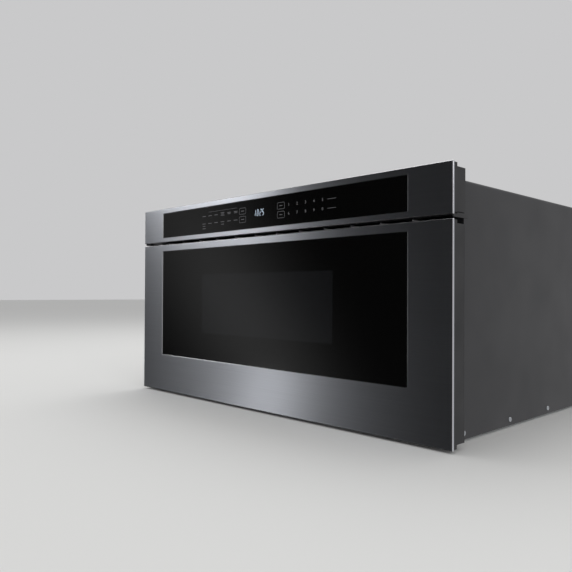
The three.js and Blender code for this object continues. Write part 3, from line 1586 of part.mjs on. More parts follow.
place('oven_cavity', ovenCavity(), 'ovenPaint');
place('stirrer_cover', stirrerCover(), 'mica');
place('stirrer', stirrer(), 'zincSheet');
place('stirrer_motor', stirrerMotor(), 'zincSheet');
place('waveguide', waveguide(), 'zincSheet');
place('magnetron', magnetron(), 'zincSheet');
place('fan_shroud', fanShroud(), 'blackPlastic');
place('fan_blade', fanBlade(), 'gearPlastic');
place('fan_motor', fanMotor(), 'zincSheet');
place('air_duct', airDuct(), 'blackPlastic');
place('hv_transformer', transformer(), 'copper');
place('hv_capacitor', capacitor(), 'zincSheet');
place('power_board', powerBoard(), 'circuitBoard');
place('lamp_holder', lampHolder(), 'zincSheet');
place('oven_lamp', ovenLamp(), 'clearGlass');

place('drive_shaft', driveShaft(), 'steel');
place('shaft_gear', shaftGear(), 'gearPlastic');
place('motor_gear', motorGear(), 'gearPlastic');
place('drive_motor', driveMotor(), 'zincSheet');
place('motor_bracket', motorBracket(), 'zincSheet');

for (const { name, sign } of sides) {
  place(`slide_bracket_${name}`, slideBracket(sign), 'zincSheet');
  place(`slide_outer_${name}`, slideOuter(sign), 'steel');
  place(`slide_middle_${name}`, slideMiddle(sign), 'steel');
  place(`slide_inner_${name}`, slideInner(sign), 'steel');
  place(`rack_${name}`, rack(sign), 'gearPlastic');
  place(`pinion_${name}`, pinion(sign), 'gearPlastic');
  place(`interlock_switch_${name}`, interlockSwitch(sign), 'blackPlastic');
  place(`switch_plunger_${name}`, switchPlunger(sign), 'redPlastic');
}

machine.position.y = -machineDepth / 2;

const drawerOven = new THREE.Group();
drawerOven.add(machine);

export default drawerOven;
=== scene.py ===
"""Looks of a built-in microwave drawer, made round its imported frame, in metres."""

import logging
import math
from dataclasses import dataclass
from enum import Enum
from typing import Any, Callable, Iterable, Sequence

import bmesh
import bpy
from mathutils import Matrix, Quaternion, Vector


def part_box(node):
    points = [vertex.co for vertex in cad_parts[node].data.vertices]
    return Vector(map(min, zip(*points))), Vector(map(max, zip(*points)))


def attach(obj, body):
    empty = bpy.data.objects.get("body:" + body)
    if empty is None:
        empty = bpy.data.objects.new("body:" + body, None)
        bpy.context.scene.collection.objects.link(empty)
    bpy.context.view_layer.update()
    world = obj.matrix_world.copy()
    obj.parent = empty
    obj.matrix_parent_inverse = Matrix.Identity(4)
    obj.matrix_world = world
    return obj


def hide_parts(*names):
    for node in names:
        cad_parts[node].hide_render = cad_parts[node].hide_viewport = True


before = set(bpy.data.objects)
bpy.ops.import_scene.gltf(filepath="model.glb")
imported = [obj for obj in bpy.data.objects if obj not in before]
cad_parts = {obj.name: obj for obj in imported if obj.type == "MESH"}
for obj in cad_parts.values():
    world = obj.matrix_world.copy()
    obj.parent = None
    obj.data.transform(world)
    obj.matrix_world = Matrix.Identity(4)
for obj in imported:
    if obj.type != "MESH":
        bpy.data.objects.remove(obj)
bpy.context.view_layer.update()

LOG = logging.getLogger("microwave_drawer")
MM = 0.001
HAIR = 0.03 * MM  # thickness of a printed mark
NEAR = 0.01 * MM  # places closer than this count as the same

Socket = bpy.types.NodeSocket
Tree = bpy.types.NodeTree
Range = tuple[float, float]


class Axis(Enum):
    """A direction of the row frame, as a unit vector."""

    X = (1.0, 0.0, 0.0)
    Y = (0.0, 1.0, 0.0)
    Z = (0.0, 0.0, 1.0)


# ---- Nodes and colours ----


def linear(colour: str) -> tuple[float, float, float, float]:
    """Turns an sRGB hex colour to linear RGBA.

    Args:
        colour: six hex digits after a #.

    Returns:
        The linear colour with an alpha of 1.
    """
    parts = [int(colour[place : place + 2], 16) / 255 for place in (1, 3, 5)]
    red, green, blue = [c / 12.92 if c <= 0.04045 else ((c + 0.055) / 1.055) ** 2.4 for c in parts]
    return red, green, blue, 1.0


def add(
    tree: Tree,
    kind: str,
    inputs: dict[Any, Any] | None = None,
    output: int | str = 0,
    **settings: Any,
) -> Socket | None:
    """Adds one node with its settings and links.

    Args:
        tree: the node tree to add to.
        kind: the node's type.
        inputs: by socket name or number, a socket to link from or a value to set.
        output: name or number of the output to give.
        settings: properties of the node.

    Returns:
        That output, or None where the node has no outputs.
    """
    node = tree.nodes.new(kind)
    for name, value in settings.items():
        setattr(node, name, value)
    for key, value in (inputs or {}).items():
        if isinstance(value, bpy.types.NodeSocket):
            tree.links.new(value, node.inputs[key])
        else:
            node.inputs[key].default_value = value
    return node.outputs[output] if node.outputs else None


@dataclass(frozen=True)
class Grain:
    """Noise with grain of a real size, and the values that it is mapped to.

    Attributes:
        size: grain along X, Y and Z, in millimetres.
        detail: octaves of finer grain.
        low: value at the pattern's lower end.
        high: value at its upper end.
        source: the pattern's own range.
    """

    size: Sequence[float]
    detail: float = 2.0
    low: float = 0.0
    high: float = 1.0
    source: Range = (0.3, 0.7)

    def raw(self, tree: Tree, point: Socket) -> Socket:
        """Makes the noise itself.

        Args:
            tree: the node tree.
            point: the coordinates to read.

        Returns:
            The noise value, around 0.5.
        """
        scale = tuple(1 / (size * MM) for size in self.size)
        spot = add(tree, "ShaderNodeMapping", {"Vector": point, "Scale": scale})
        return add(tree, "ShaderNodeTexNoise", {"Vector": spot, "Scale": 1.0, "Detail": self.detail})

    def mapped(self, tree: Tree, point: Socket, base: float = 0.0) -> Socket:
        """Makes the noise and maps it to its values.

        Args:
            tree: the node tree.
            point: the coordinates to read.
            base: what is added to the values.

        Returns:
            The mapped value.
        """
        inputs = {0: self.raw(tree, point), 3: base + self.low, 4: base + self.high}
        return add(tree, "ShaderNodeMapRange", {**inputs, 1: self.source[0], 2: self.source[1]})


def holes(tree: Tree, point: Socket, pitch: float, edge: Range) -> Socket:
    """Round holes in a sheet, in rows.

    Args:
        tree: the node tree.
        point: the coordinates to read.
        pitch: distance between holes in millimetres.
        edge: where a hole's edge begins and ends, from its middle, as parts of the pitch.

    Returns:
        0 in a hole and 1 on the sheet.
    """
    rows = {"Vector": point, "Scale": 1 / (pitch * MM), "Randomness": 0.0}
    away = add(tree, "ShaderNodeTexVoronoi", rows, "Distance")
    return add(tree, "ShaderNodeMapRange", {0: away, 1: edge[0], 2: edge[1], 3: 0.0, 4: 1.0})


def flakes(tree: Tree, point: Socket, size: float, **settings: Any) -> Socket:
    """Flakes or crystals side by side, each with a level of its own.

    Args:
        tree: the node tree.
        point: the coordinates to read.
        size: their size in millimetres.
        settings: properties of the pattern.

    Returns:
        The level, from 0 to 1.
    """
    spots = {"Vector": point, "Scale": 1 / (size * MM), "Randomness": 1.0}
    colour = add(tree, "ShaderNodeTexVoronoi", spots, "Color", **settings)
    return add(tree, "ShaderNodeSeparateColor", {0: colour})


def inside(tree: Tree, point: Socket, centre: Sequence[float], half: Sequence[float]) -> Socket:
    """1 inside an upright box and 0 outside.

    Args:
        tree: the node tree.
        point: the coordinates to read.
        centre: middle of the box, in metres.
        half: half its size along X, Y and Z, in metres.

    Returns:
        The mask.
    """
    away = add(tree, "ShaderNodeVectorMath", {0: point, 1: tuple(centre)}, operation="SUBTRACT")
    away = add(tree, "ShaderNodeVectorMath", {0: away}, operation="ABSOLUTE")
    beyond = add(tree, "ShaderNodeVectorMath", {0: away, 1: tuple(half)}, operation="SUBTRACT")
    x, y, z = add(tree, "ShaderNodeSeparateXYZ", {0: beyond}).node.outputs
    most = add(tree, "ShaderNodeMath", {0: x, 1: y}, operation="MAXIMUM")
    most = add(tree, "ShaderNodeMath", {0: most, 1: z}, operation="MAXIMUM")
    return add(tree, "ShaderNodeMath", {0: most, 1: 0.0}, operation="LESS_THAN")


# ---- Finishes ----


@dataclass(frozen=True)
class Finish:
    """A finish with a change of tone, a change of gloss and a relief, each where it is given.

    Attributes:
        name: the material's name.
        colour: sRGB hex colour.
        roughness: roughness of the surface.
        metallic: 1 for a bare metal.
        shade: the tone at the lower end of the tone's pattern.
        tone: pattern of the tone.
        gloss: pattern of the roughness, as a change of it.
        bump: pattern of the relief.
        depth: depth of the relief in millimetres.
        strength: how much of the relief shows.
        extras: other values of the shader, by name.
    """

    name: str
    colour: str
    roughness: float
    metallic: float = 0.0
    shade: str = ""
    tone: Grain | None = None
    gloss: Grain | None = None
    bump: Grain | None = None
    depth: float = 0.0
    strength: float = 1.0
    extras: tuple[tuple[str, Any], ...] = ()

    def material(self) -> bpy.types.Material:
        """Makes the material, or finds it if it is made already.

        Returns:
            The material.
        """
        made = bpy.data.materials.get(self.name)
        if made:
            return made
        made = bpy.data.materials.new(self.name)
        made.use_nodes = True
        tree = made.node_tree
        tree.nodes.clear()
        point = add(tree, "ShaderNodeTexCoord", output="Object")
        inputs = {
            "Base Color": linear(self.colour),
            "Metallic": self.metallic,
            "Roughness": self.roughness,
            **self.surface(tree, point),
        }
        shader = add(tree, "ShaderNodeBsdfPrincipled", inputs)
        add(tree, "ShaderNodeOutputMaterial", {"Surface": shader})
        return made

    def surface(self, tree: Tree, point: Socket) -> dict[str, Any]:
        """Makes the finish's patterns.

        Args:
            tree: the material's node tree.
            point: the coordinates to read.

        Returns:
            Sockets and values for the shader, by the name of its input.
        """
        made = dict(self.extras)
        if self.tone:
            tones = {0: self.tone.mapped(tree, point), 6: linear(self.shade), 7: linear(self.colour)}
            made["Base Color"] = add(tree, "ShaderNodeMix", tones, 2, data_type="RGBA")
        if self.gloss:
            made["Roughness"] = self.gloss.mapped(tree, point, self.roughness)
        if self.bump:
            relief = {"Distance": self.depth * MM, "Strength": self.strength}
            made["Normal"] = add(tree, "ShaderNodeBump", {"Height": self.bump.raw(tree, point), **relief})
        return made


@dataclass(frozen=True)
class BrushedSteel(Finish):
    """Stainless steel brushed along X: reflections are drawn out across the brush lines.

    Real brush lines are 0.05 to 0.1 mm wide, too fine to show, so they are drawn 0.8 mm wide. The belt
    leaves faint clouds of gloss.
    """

    metallic: float = 1.0
    shade: str = "#c5c8cf"
    tone: Grain | None = Grain((160.0, 0.8, 0.8))
    gloss: Grain | None = Grain((160.0, 80.0, 40.0), 1.0, -0.012, 0.012, (0.0, 1.0))
    extras: tuple[tuple[str, Any], ...] = (("Anisotropic", 0.9),)

    def surface(self, tree: Tree, point: Socket) -> dict[str, Any]:
        """The steel's patterns, and the direction of its lines.

        Args:
            tree: the material's node tree.
            point: the coordinates to read.

        Returns:
            Sockets and values for the shader, by the name of its input.
        """
        normal = add(tree, "ShaderNodeNewGeometry", output="Normal")
        across = add(tree, "ShaderNodeVectorMath", {0: normal, 1: Axis.X.value}, operation="CROSS_PRODUCT")
        tangent = add(tree, "ShaderNodeVectorMath", {0: across, 1: (0, 0, 0.01)}, operation="ADD")
        return {**super().surface(tree, point), "Tangent": tangent}


@dataclass(frozen=True)
class PolishedSteel(Finish):
    """The buffed bends of a stainless face: smoother than its flats, with faint rub marks along them."""

    metallic: float = 1.0
    gloss: Grain | None = Grain((12.0, 1.0, 12.0), 2.0, -0.04, 0.06)


@dataclass(frozen=True)
class PrintedGlass(Finish):
    """Float glass with a black ceramic print fired on its back, and faint smears of cleaning.

    The print leaves a see-through area, where the dark perforated screen shows a little lighter.
    The screen's holes are 1.2 mm across on a 2.2 mm pitch.

    Attributes:
        view: the screen's tone, seen through the glass.
        hole: the tone of its holes.
        centre: middle of the see-through area, in metres.
        half: half its size.
        pitch: distance between holes in millimetres.
        edge: where a hole's edge begins and ends, as parts of the pitch.
    """

    gloss: Grain | None = Grain((70.0, 70.0, 25.0), 2.0, 0.0, 0.03)
    extras: tuple[tuple[str, Any], ...] = (("IOR", 1.5),)
    view: str = "#1a1b1d"
    hole: str = "#0b0b0c"
    centre: Sequence[float] = (0.0, 0.0, 0.0)
    half: Sequence[float] = (0.0, 0.0, 0.0)
    pitch: float = 2.2
    edge: Range = (0.3, 0.45)

    def surface(self, tree: Tree, point: Socket) -> dict[str, Any]:
        """The glass's own patterns, and the see-through area with its screen.

        Args:
            tree: the material's node tree.
            point: the coordinates to read.

        Returns:
            Sockets and values for the shader, by the name of its input.
        """
        screen = {0: holes(tree, point, self.pitch, self.edge), 6: linear(self.hole), 7: linear(self.view)}
        seen = add(tree, "ShaderNodeMix", screen, 2, data_type="RGBA")
        window = {0: inside(tree, point, self.centre, self.half), 6: linear(self.colour), 7: seen}
        both = add(tree, "ShaderNodeMix", window, 2, data_type="RGBA")
        return {**super().surface(tree, point), "Base Color": both}


@dataclass(frozen=True)
class ClearGlass(Finish):
    """Clear polished glass, slightly green, with a trace of waviness from rolling."""

    bump: Grain | None = Grain((60.0,) * 3, 0.0)
    depth: float = 0.02
    strength: float = 0.3
    extras: tuple[tuple[str, Any], ...] = (("IOR", 1.52), ("Transmission Weight", 1.0))


@dataclass(frozen=True)
class ScreenPrint(Finish):
    """Ceramic ink printed through a mesh: its cover varies from spot to spot, 0.6 mm across."""

    shade: str = "#56565a"
    tone: Grain | None = Grain((0.6,) * 3, 1.0)


@dataclass(frozen=True)
class LitSegment(Finish):
    """Vacuum-fluorescent clock segments, an even glow seen through the dark glass."""

    extras: tuple[tuple[str, Any], ...] = (("Emission Color", linear("#cfe0f5")), ("Emission Strength", 2.0))


@dataclass(frozen=True)
class MouldedPlastic(Finish):
    """Injection-moulded plastic: spark-eroded grain, and slow changes of gloss from the mould's polish.

    The real grain is 0.1 to 0.2 mm wide, too fine to show, so it is drawn 0.8 mm wide.
    """

    gloss: Grain | None = Grain((45.0,) * 3, 1.0, -0.05, 0.08)
    bump: Grain | None = Grain((0.8,) * 3, 1.0)
    depth: float = 0.02
    strength: float = 0.6
    extras: tuple[tuple[str, Any], ...] = (("IOR", 1.46),)


@dataclass(frozen=True)
class RibbedGrille(MouldedPlastic):
    """Black moulded strip whose ribs carry a painted glint on their lower ends: pale colour standing in for
    light caught there.

    Attributes:
        tip: height below which the painted glint begins, in metres.
        bright: the painted glint's colour.
    """

    tip: float = 0.0
    bright: str = "#d6d6d8"

    def surface(self, tree: Tree, point: Socket) -> dict[str, Any]:
        """The moulded grain, and the painted glint below a height.

        Args:
            tree: the material's node tree.
            point: the coordinates to read.

        Returns:
            Sockets and values for the shader, by the name of its input.
        """
        height = add(tree, "ShaderNodeSeparateXYZ", {0: point}, "Z")
        # Painted glint: the ribs turn pale below the given height, in place of light caught on their lower
        # ends.
        painted_glint_mask = add(tree, "ShaderNodeMath", {0: height, 1: self.tip}, operation="LESS_THAN")
        tones = {0: painted_glint_mask, 6: linear(self.colour), 7: linear(self.bright)}
        both = add(tree, "ShaderNodeMix", tones, 2, data_type="RGBA")
        return {**super().surface(tree, point), "Base Color": both}


@dataclass(frozen=True)
class PaintedSheet(Finish):
    """Powder-coated or stoved sheet steel: faint orange peel of 2 mm waves, and a coat that varies."""

    gloss: Grain | None = Grain((120.0,) * 3, 2.0, -0.04, 0.06)
    bump: Grain | None = Grain((2.0,) * 3, 1.0)
    depth: float = 0.015
    strength: float = 0.7


@dataclass(frozen=True)
class OvenPaint(PaintedSheet):
    """Grey oven paint: the painted sheet's peel, with a slow change of tone from the baking."""

    shade: str = "#adaca6"
    tone: Grain | None = Grain((120.0,) * 3)


@dataclass(frozen=True)
class DrawnMetal(Finish):
    """Bare metal with fine marks from rolling or drawing, and dull patches left by handling."""

    metallic: float = 1.0
    gloss: Grain | None = Grain((55.0,) * 3, 2.0, -0.06, 0.1)
    depth: float = 0.01
    strength: float = 0.4


@dataclass(frozen=True)
class GlassCeramic(Finish):
    """White glass ceramic with a smooth fire-polished skin and grey specks about 1 mm across."""

    shade: str = "#b4b1a8"
    tone: Grain | None = Grain((1.4,) * 3, 0.0, source=(0.24, 0.32))
    extras: tuple[tuple[str, Any], ...] = (
        ("IOR", 1.53),
        ("Subsurface Weight", 0.05),
        ("Subsurface Scale", 0.002),
    )


@dataclass(frozen=True)
class GalvanisedSheet(Finish):
    """Hot-dip galvanised sheet steel: zinc crystals 6 to 14 mm across with different sheen.

    Attributes:
        crystal: usual size of a crystal in millimetres.
        base: the tone's least level.
        crystals: how much of the tone the crystals give.
        bloom: how much of it the white bloom gives.
        dull: change of the roughness, from the glossiest crystal to the dullest.
    """

    metallic: float = 1.0
    shade: str = "#8f9396"
    bump: Grain | None = Grain((90.0,) * 3, 3.0)
    depth: float = 0.05
    strength: float = 0.4
    crystal: float = 10.0
    base: float = 0.1
    crystals: float = 0.55
    bloom: float = 0.35
    dull: Range = (-0.07, 0.09)

    def surface(self, tree: Tree, point: Socket) -> dict[str, Any]:
        """Crystals and a light white bloom over them.

        Args:
            tree: the material's node tree.
            point: the coordinates to read.

        Returns:
            Sockets and values for the shader, by the name of its input.
        """
        made = super().surface(tree, point)
        level = flakes(tree, point, self.crystal, distance="MINKOWSKI")
        sheen = {0: level, 1: self.crystals, 2: self.base}
        sheen = add(tree, "ShaderNodeMath", sheen, operation="MULTIPLY_ADD")
        bloom = {0: self.bump.raw(tree, point), 1: self.bloom, 2: sheen}
        tone = add(tree, "ShaderNodeMath", bloom, operation="MULTIPLY_ADD")
        tones = {0: tone, 6: linear(self.shade), 7: linear(self.colour)}
        made["Base Color"] = add(tree, "ShaderNodeMix", tones, 2, data_type="RGBA")
        rough = {0: level, 3: self.roughness + self.dull[0], 4: self.roughness + self.dull[1]}
        made["Roughness"] = add(tree, "ShaderNodeMapRange", rough)
        return made


@dataclass(frozen=True)
class PerforatedScreen(Finish):
    """Blackened steel sheet with 1.2 mm holes on a 2.2 mm pitch.

    Attributes:
        hole: the tone of the holes.
        pitch: distance between holes in millimetres.
        edge: where a hole's edge begins and ends, as parts of the pitch.
    """

    metallic: float = 0.6
    depth: float = 0.4
    hole: str = "#050505"
    pitch: float = 2.2
    edge: Range = (0.34, 0.42)

    def surface(self, tree: Tree, point: Socket) -> dict[str, Any]:
        """Dark holes in the sheet.

        Args:
            tree: the material's node tree.
            point: the coordinates to read.

        Returns:
            Sockets and values for the shader, by the name of its input.
        """
        sheet = holes(tree, point, self.pitch, self.edge)
        tones = {0: sheet, 6: linear(self.hole), 7: linear(self.colour)}
        relief = {"Distance": self.depth * MM, "Strength": self.strength}
        return {
            "Base Color": add(tree, "ShaderNodeMix", tones, 2, data_type="RGBA"),
            "Normal": add(tree, "ShaderNodeBump", {"Height": sheet, **relief}),
        }


@dataclass(frozen=True)
class StackedSheets(Finish):
    """Varnished steel laminations 0.5 mm thick, drawn 1.5 mm thick so that they show.

    Beyond the core's ends the same piece is the coil: enamelled copper wire, with painted shade between its
    turns.

    Attributes:
        across: the direction in which the sheets are stacked.
        core: middle and half size of the core, in metres.
        sheet: thickness of a sheet as drawn, in millimetres.
        length: length over which a sheet's edge keeps its tone, in millimetres.
        turns: pattern of the coil's turns.
        varnish: the tone between the sheets.
        wire: the coil's colour.
        painted_turn_shade: painted shade between its turns, where the grooves between wires fall in shade.
    """

    depth: float = 0.15
    strength: float = 0.5
    across: Axis = Axis.Y
    core: tuple[Sequence[float], Sequence[float]] = ((0, 0, 0), (1, 1, 1))
    sheet: float = 1.5
    length: float = 200.0
    turns: Grain = Grain((1.2, 60.0, 1.2), 0.0)
    varnish: str = "#26221f"
    wire: str = "#7d4a26"
    painted_turn_shade: str = "#5a3218"

    def surface(self, tree: Tree, point: Socket) -> dict[str, Any]:
        """Sheet edges on the core, and turns of wire on the coil with painted shade between them.

        Args:
            tree: the material's node tree.
            point: the coordinates to read.

        Returns:
            Sockets and values for the shader, by the name of its input.
        """
        edges = Grain(tuple(self.sheet if part else self.length for part in self.across.value), 0.0)
        core = {0: edges.mapped(tree, point), 6: linear(self.varnish), 7: linear(self.colour)}
        # Painted shade: the coil is darker between its turns, as if the grooves between wires were shaded.
        coil = {0: self.turns.mapped(tree, point), 6: linear(self.painted_turn_shade), 7: linear(self.wire)}
        both = {
            0: inside(tree, point, *self.core),
            6: add(tree, "ShaderNodeMix", coil, 2, data_type="RGBA"),
            7: add(tree, "ShaderNodeMix", core, 2, data_type="RGBA"),
        }
        relief = {"Distance": self.depth * MM, "Strength": self.strength}
        return {
            "Base Color": add(tree, "ShaderNodeMix", both, 2, data_type="RGBA"),
            "Normal": add(tree, "ShaderNodeBump", {"Height": edges.raw(tree, point), **relief}),
        }


@dataclass(frozen=True)
class CircuitBoard(Finish):
    """Green solder mask over copper tracks, with dark parts standing on it.

    Attributes:
        face: the direction in which the parts stand.
        level: where the board's surface ends and the parts begin, in metres.
        parts: colour of the parts' cases.
        track: distance between tracks in millimetres.
        edge: where a track's edge begins and ends, as parts of that distance.
    """

    shade: str = "#2f7a4c"
    face: Axis = Axis.Z
    level: float = 0.0
    parts: str = "#1d1d20"
    track: float = 9.0
    edge: Range = (0.08, 0.14)

    def surface(self, tree: Tree, point: Socket) -> dict[str, Any]:
        """Tracks about 2 mm wide under the mask, and the cases above it.

        Args:
            tree: the material's node tree.
            point: the coordinates to read.

        Returns:
            Sockets and values for the shader, by the name of its input.
        """
        spots = {"Vector": point, "Scale": 1 / (self.track * MM)}
        kind = {"feature": "DISTANCE_TO_EDGE", "distance": "MANHATTAN"}
        away = add(tree, "ShaderNodeTexVoronoi", spots, "Distance", **kind)
        between = {0: away, 1: self.edge[0], 2: self.edge[1], 3: 0.0, 4: 1.0}
        between = add(tree, "ShaderNodeMapRange", between)
        mask = {0: between, 6: linear(self.shade), 7: linear(self.colour)}
        board = add(tree, "ShaderNodeMix", mask, 2, data_type="RGBA")
        out = {0: point, 1: self.face.value}
        along = add(tree, "ShaderNodeVectorMath", out, "Value", operation="DOT_PRODUCT")
        above = add(tree, "ShaderNodeMath", {0: along, 1: self.level}, operation="GREATER_THAN")
        both = {0: above, 6: board, 7: linear(self.parts)}
        return {"Base Color": add(tree, "ShaderNodeMix", both, 2, data_type="RGBA"), "IOR": 1.5}


@dataclass(frozen=True)
class MicaSheet(Finish):
    """Pressed mica paper: flakes 3 mm across with a silky sheen.

    Attributes:
        flake: size of a flake in millimetres.
        dull: change of the roughness, from the glossiest flake to the dullest.
    """

    shade: str = "#a3997f"
    flake: float = 3.0
    dull: Range = (-0.15, 0.1)

    def surface(self, tree: Tree, point: Socket) -> dict[str, Any]:
        """Flakes of slightly different tone and gloss.

        Args:
            tree: the material's node tree.
            point: the coordinates to read.

        Returns:
            Sockets and values for the shader, by the name of its input.
        """
        level = flakes(tree, point, self.flake)
        tones = {0: level, 6: linear(self.shade), 7: linear(self.colour)}
        rough = {0: level, 3: self.roughness + self.dull[0], 4: self.roughness + self.dull[1]}
        return {
            "Base Color": add(tree, "ShaderNodeMix", tones, 2, data_type="RGBA"),
            "Roughness": add(tree, "ShaderNodeMapRange", rough),
        }


@dataclass(frozen=True)
class PaleFloor(Finish):
    """A plain matt floor with a very faint unevenness."""

    gloss: Grain | None = Grain((300.0,) * 3, 2.0, 0.0, 0.1)


# ---- Pieces ----


class Piece:
    """One visible piece while it is being shaped, as a bmesh in its final place."""

    def __init__(self, name: str) -> None:
        """Starts an empty piece."""
        self.name = name
        self.mesh = bmesh.new()

    def block(self, low: Sequence[float], high: Sequence[float]) -> list[bmesh.types.BMFace]:
        """Adds a box between two corners.

        Args:
            low: its lowest corner, in metres.
            high: its highest corner.

        Returns:
            The box's faces.
        """
        low, high = Vector(low), Vector(high)
        place = Matrix.Translation((low + high) / 2) @ Matrix.Diagonal((*(high - low), 1))
        made = bmesh.ops.create_cube(self.mesh, size=1, matrix=place)
        return list({face for vert in made["verts"] for face in vert.link_faces})

    def bevel(self, edges: Iterable[bmesh.types.BMEdge], width: float, segments: int = 2) -> None:
        """Rounds edges by a width in metres."""
        bmesh.ops.bevel(
            self.mesh,
            geom=list(edges),
            offset=width,
            segments=segments,
            profile=0.5,
            affect="EDGES",
            material=-1,
            offset_type="OFFSET",
            clamp_overlap=True,
        )

    def edges_where(self, test: Callable[[Vector], bool]) -> list[bmesh.types.BMEdge]:
        """The edges whose two ends both pass a test on their place."""
        return [edge for edge in self.mesh.edges if all(test(vert.co) for vert in edge.verts)]

    def face_out(self) -> None:
        """Turns every face outwards."""
        bmesh.ops.recalc_face_normals(self.mesh, faces=self.mesh.faces)

    def turn_out(self, face: bmesh.types.BMFace, out: Axis, sign: int) -> None:
        """Turns the faces of an open sheet so that one of them looks the right way.

        Args:
            face: that face.
            out: the axis that it looks along.
            sign: 1 along the axis, and -1 against it.
        """
        self.face_out()
        if face.normal.dot(Vector(out.value)) * sign < 0:
            bmesh.ops.reverse_faces(self.mesh, faces=self.mesh.faces)

    def thicken(self, sheet: float) -> None:
        """Gives an open sheet its thickness in metres."""
        bmesh.ops.solidify(self.mesh, geom=list(self.mesh.faces), thickness=sheet)
        self.face_out()

    def grow(self, faces: list[bmesh.types.BMFace], by: Sequence[float]) -> None:
        """Extrudes flat faces to a solid.

        Args:
            faces: the faces.
            by: the distance along X, Y and Z, in metres.
        """
        grown = bmesh.ops.extrude_face_region(self.mesh, geom=faces)["geom"]
        moved = [v for v in grown if isinstance(v, bmesh.types.BMVert)]
        bmesh.ops.translate(self.mesh, verts=moved, vec=by)

    def turn_edges(self, edges: list[bmesh.types.BMEdge]) -> list[bmesh.types.BMVert]:
        """Extrudes open edges, and gives the new vertices for their caller to move."""
        made = bmesh.ops.extrude_edge_only(self.mesh, edges=edges)["geom"]
        return [v for v in made if isinstance(v, bmesh.types.BMVert)]

    def folds(self) -> list[bmesh.types.BMEdge]:
        """The edges at which a sheet is folded."""
        return [e for e in self.mesh.edges if len(e.link_faces) == 2 and e.calc_face_angle() > 1]

    def done(
        self,
        body: str,
        finishes: Sequence[Finish],
        replaces: Sequence[str] = (),
        angle: float = 32.0,
    ) -> bpy.types.Object:
        """Turns the bmesh into an object that rides on a body.

        Args:
            body: the CAD body that it moves with.
            finishes: its finishes, in the order of the faces' material numbers.
            replaces: the CAD nodes that it stands for.
            angle: edges sharper than this many degrees stay sharp.

        Returns:
            The object.
        """
        for face in self.mesh.faces:
            face.smooth = True
        data = bpy.data.meshes.new(self.name)
        self.mesh.to_mesh(data)
        self.mesh.free()
        data.set_sharp_from_angle(angle=math.radians(angle))
        for finish in finishes:
            data.materials.append(finish.material())
        made = stand(self.name, data)
        made.modifiers.new("flat_faces_stay_flat", "WEIGHTED_NORMAL").keep_sharp = True
        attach(made, body)
        if replaces:
            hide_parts(*replaces)
        LOG.info("%s: %d faces on %s", self.name, len(data.polygons), body)
        return made


def stand(name: str, data: bpy.types.ID) -> bpy.types.Object:
    """Makes an object and stands it in the scene.

    Args:
        name: the object's name.
        data: its mesh, lamp or camera.

    Returns:
        The object.
    """
    made = bpy.data.objects.new(name, data)
    bpy.context.scene.collection.objects.link(made)
    return made


def spans(node: str) -> tuple[Range, Range, Range]:
    """A CAD node's X, Y and Z ranges, in metres."""
    low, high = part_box(node)
    return tuple(zip(low, high))


def spaced(first: float, last: float, count: int) -> list[float]:
    """Evenly spaced places from first to last."""
    return [first + (last - first) * index / (count - 1) for index in range(count)]


# ---- The finishes of this object ----


STEEL = BrushedSteel("brushed_stainless_steel", "#cccfd6", 0.288)
STEEL_EDGE = PolishedSteel("buffed_stainless_edge", "#d3d3d6", 0.2)
PANEL_GLASS = PrintedGlass("black_printed_panel_glass", "#060606", 0.03)
PANEL_PRINT = ScreenPrint("grey_panel_print", "#8c8c90", 0.45)
CLOCK_LIGHT = LitSegment("clock_segments", "#101214", 0.4)
BLACK_PLASTIC = MouldedPlastic("black_moulded_plastic", "#1b1b1d", 0.45)
RED_PLASTIC = MouldedPlastic("red_moulded_plastic", "#a8321f", 0.4)
PALE_PLASTIC = MouldedPlastic("natural_acetal", "#e2ded2", 0.38)
ZINC = GalvanisedSheet("galvanised_sheet", "#b9bdc0", 0.42)
DARK_SHEET = PaintedSheet("black_painted_sheet", "#232326", 0.42)
OVEN_PAINT = OvenPaint("grey_oven_paint", "#b9b8b3", 0.3)
TRAY = GlassCeramic("white_glass_ceramic", "#e9e7e0", 0.12)
SCREEN = PerforatedScreen("blackened_screen_sheet", "#3f4043", 0.45)
CLEAR = ClearGlass("clear_glass", "#e6efec", 0.02)
MICA = MicaSheet("pressed_mica", "#cfc6ae", 0.5)
# Marks of rolling along X, and of drawing along Y.
ROLLED, DRAWN = Grain((40.0, 1.0, 1.0)), Grain((1.0, 80.0, 1.0))
ALUMINIUM = DrawnMetal("bare_aluminium", "#d9dadb", 0.35, shade="#bcbec0", tone=ROLLED, bump=ROLLED)
SLIDE_STEEL = DrawnMetal("bright_zinc_plate", "#c4c7ca", 0.28, shade="#a4a8ad", tone=DRAWN, bump=DRAWN)
FLOOR = PaleFloor("pale_floor", "#dddddb", 0.8)


# ---- Front of the drawer and of the control panel ----


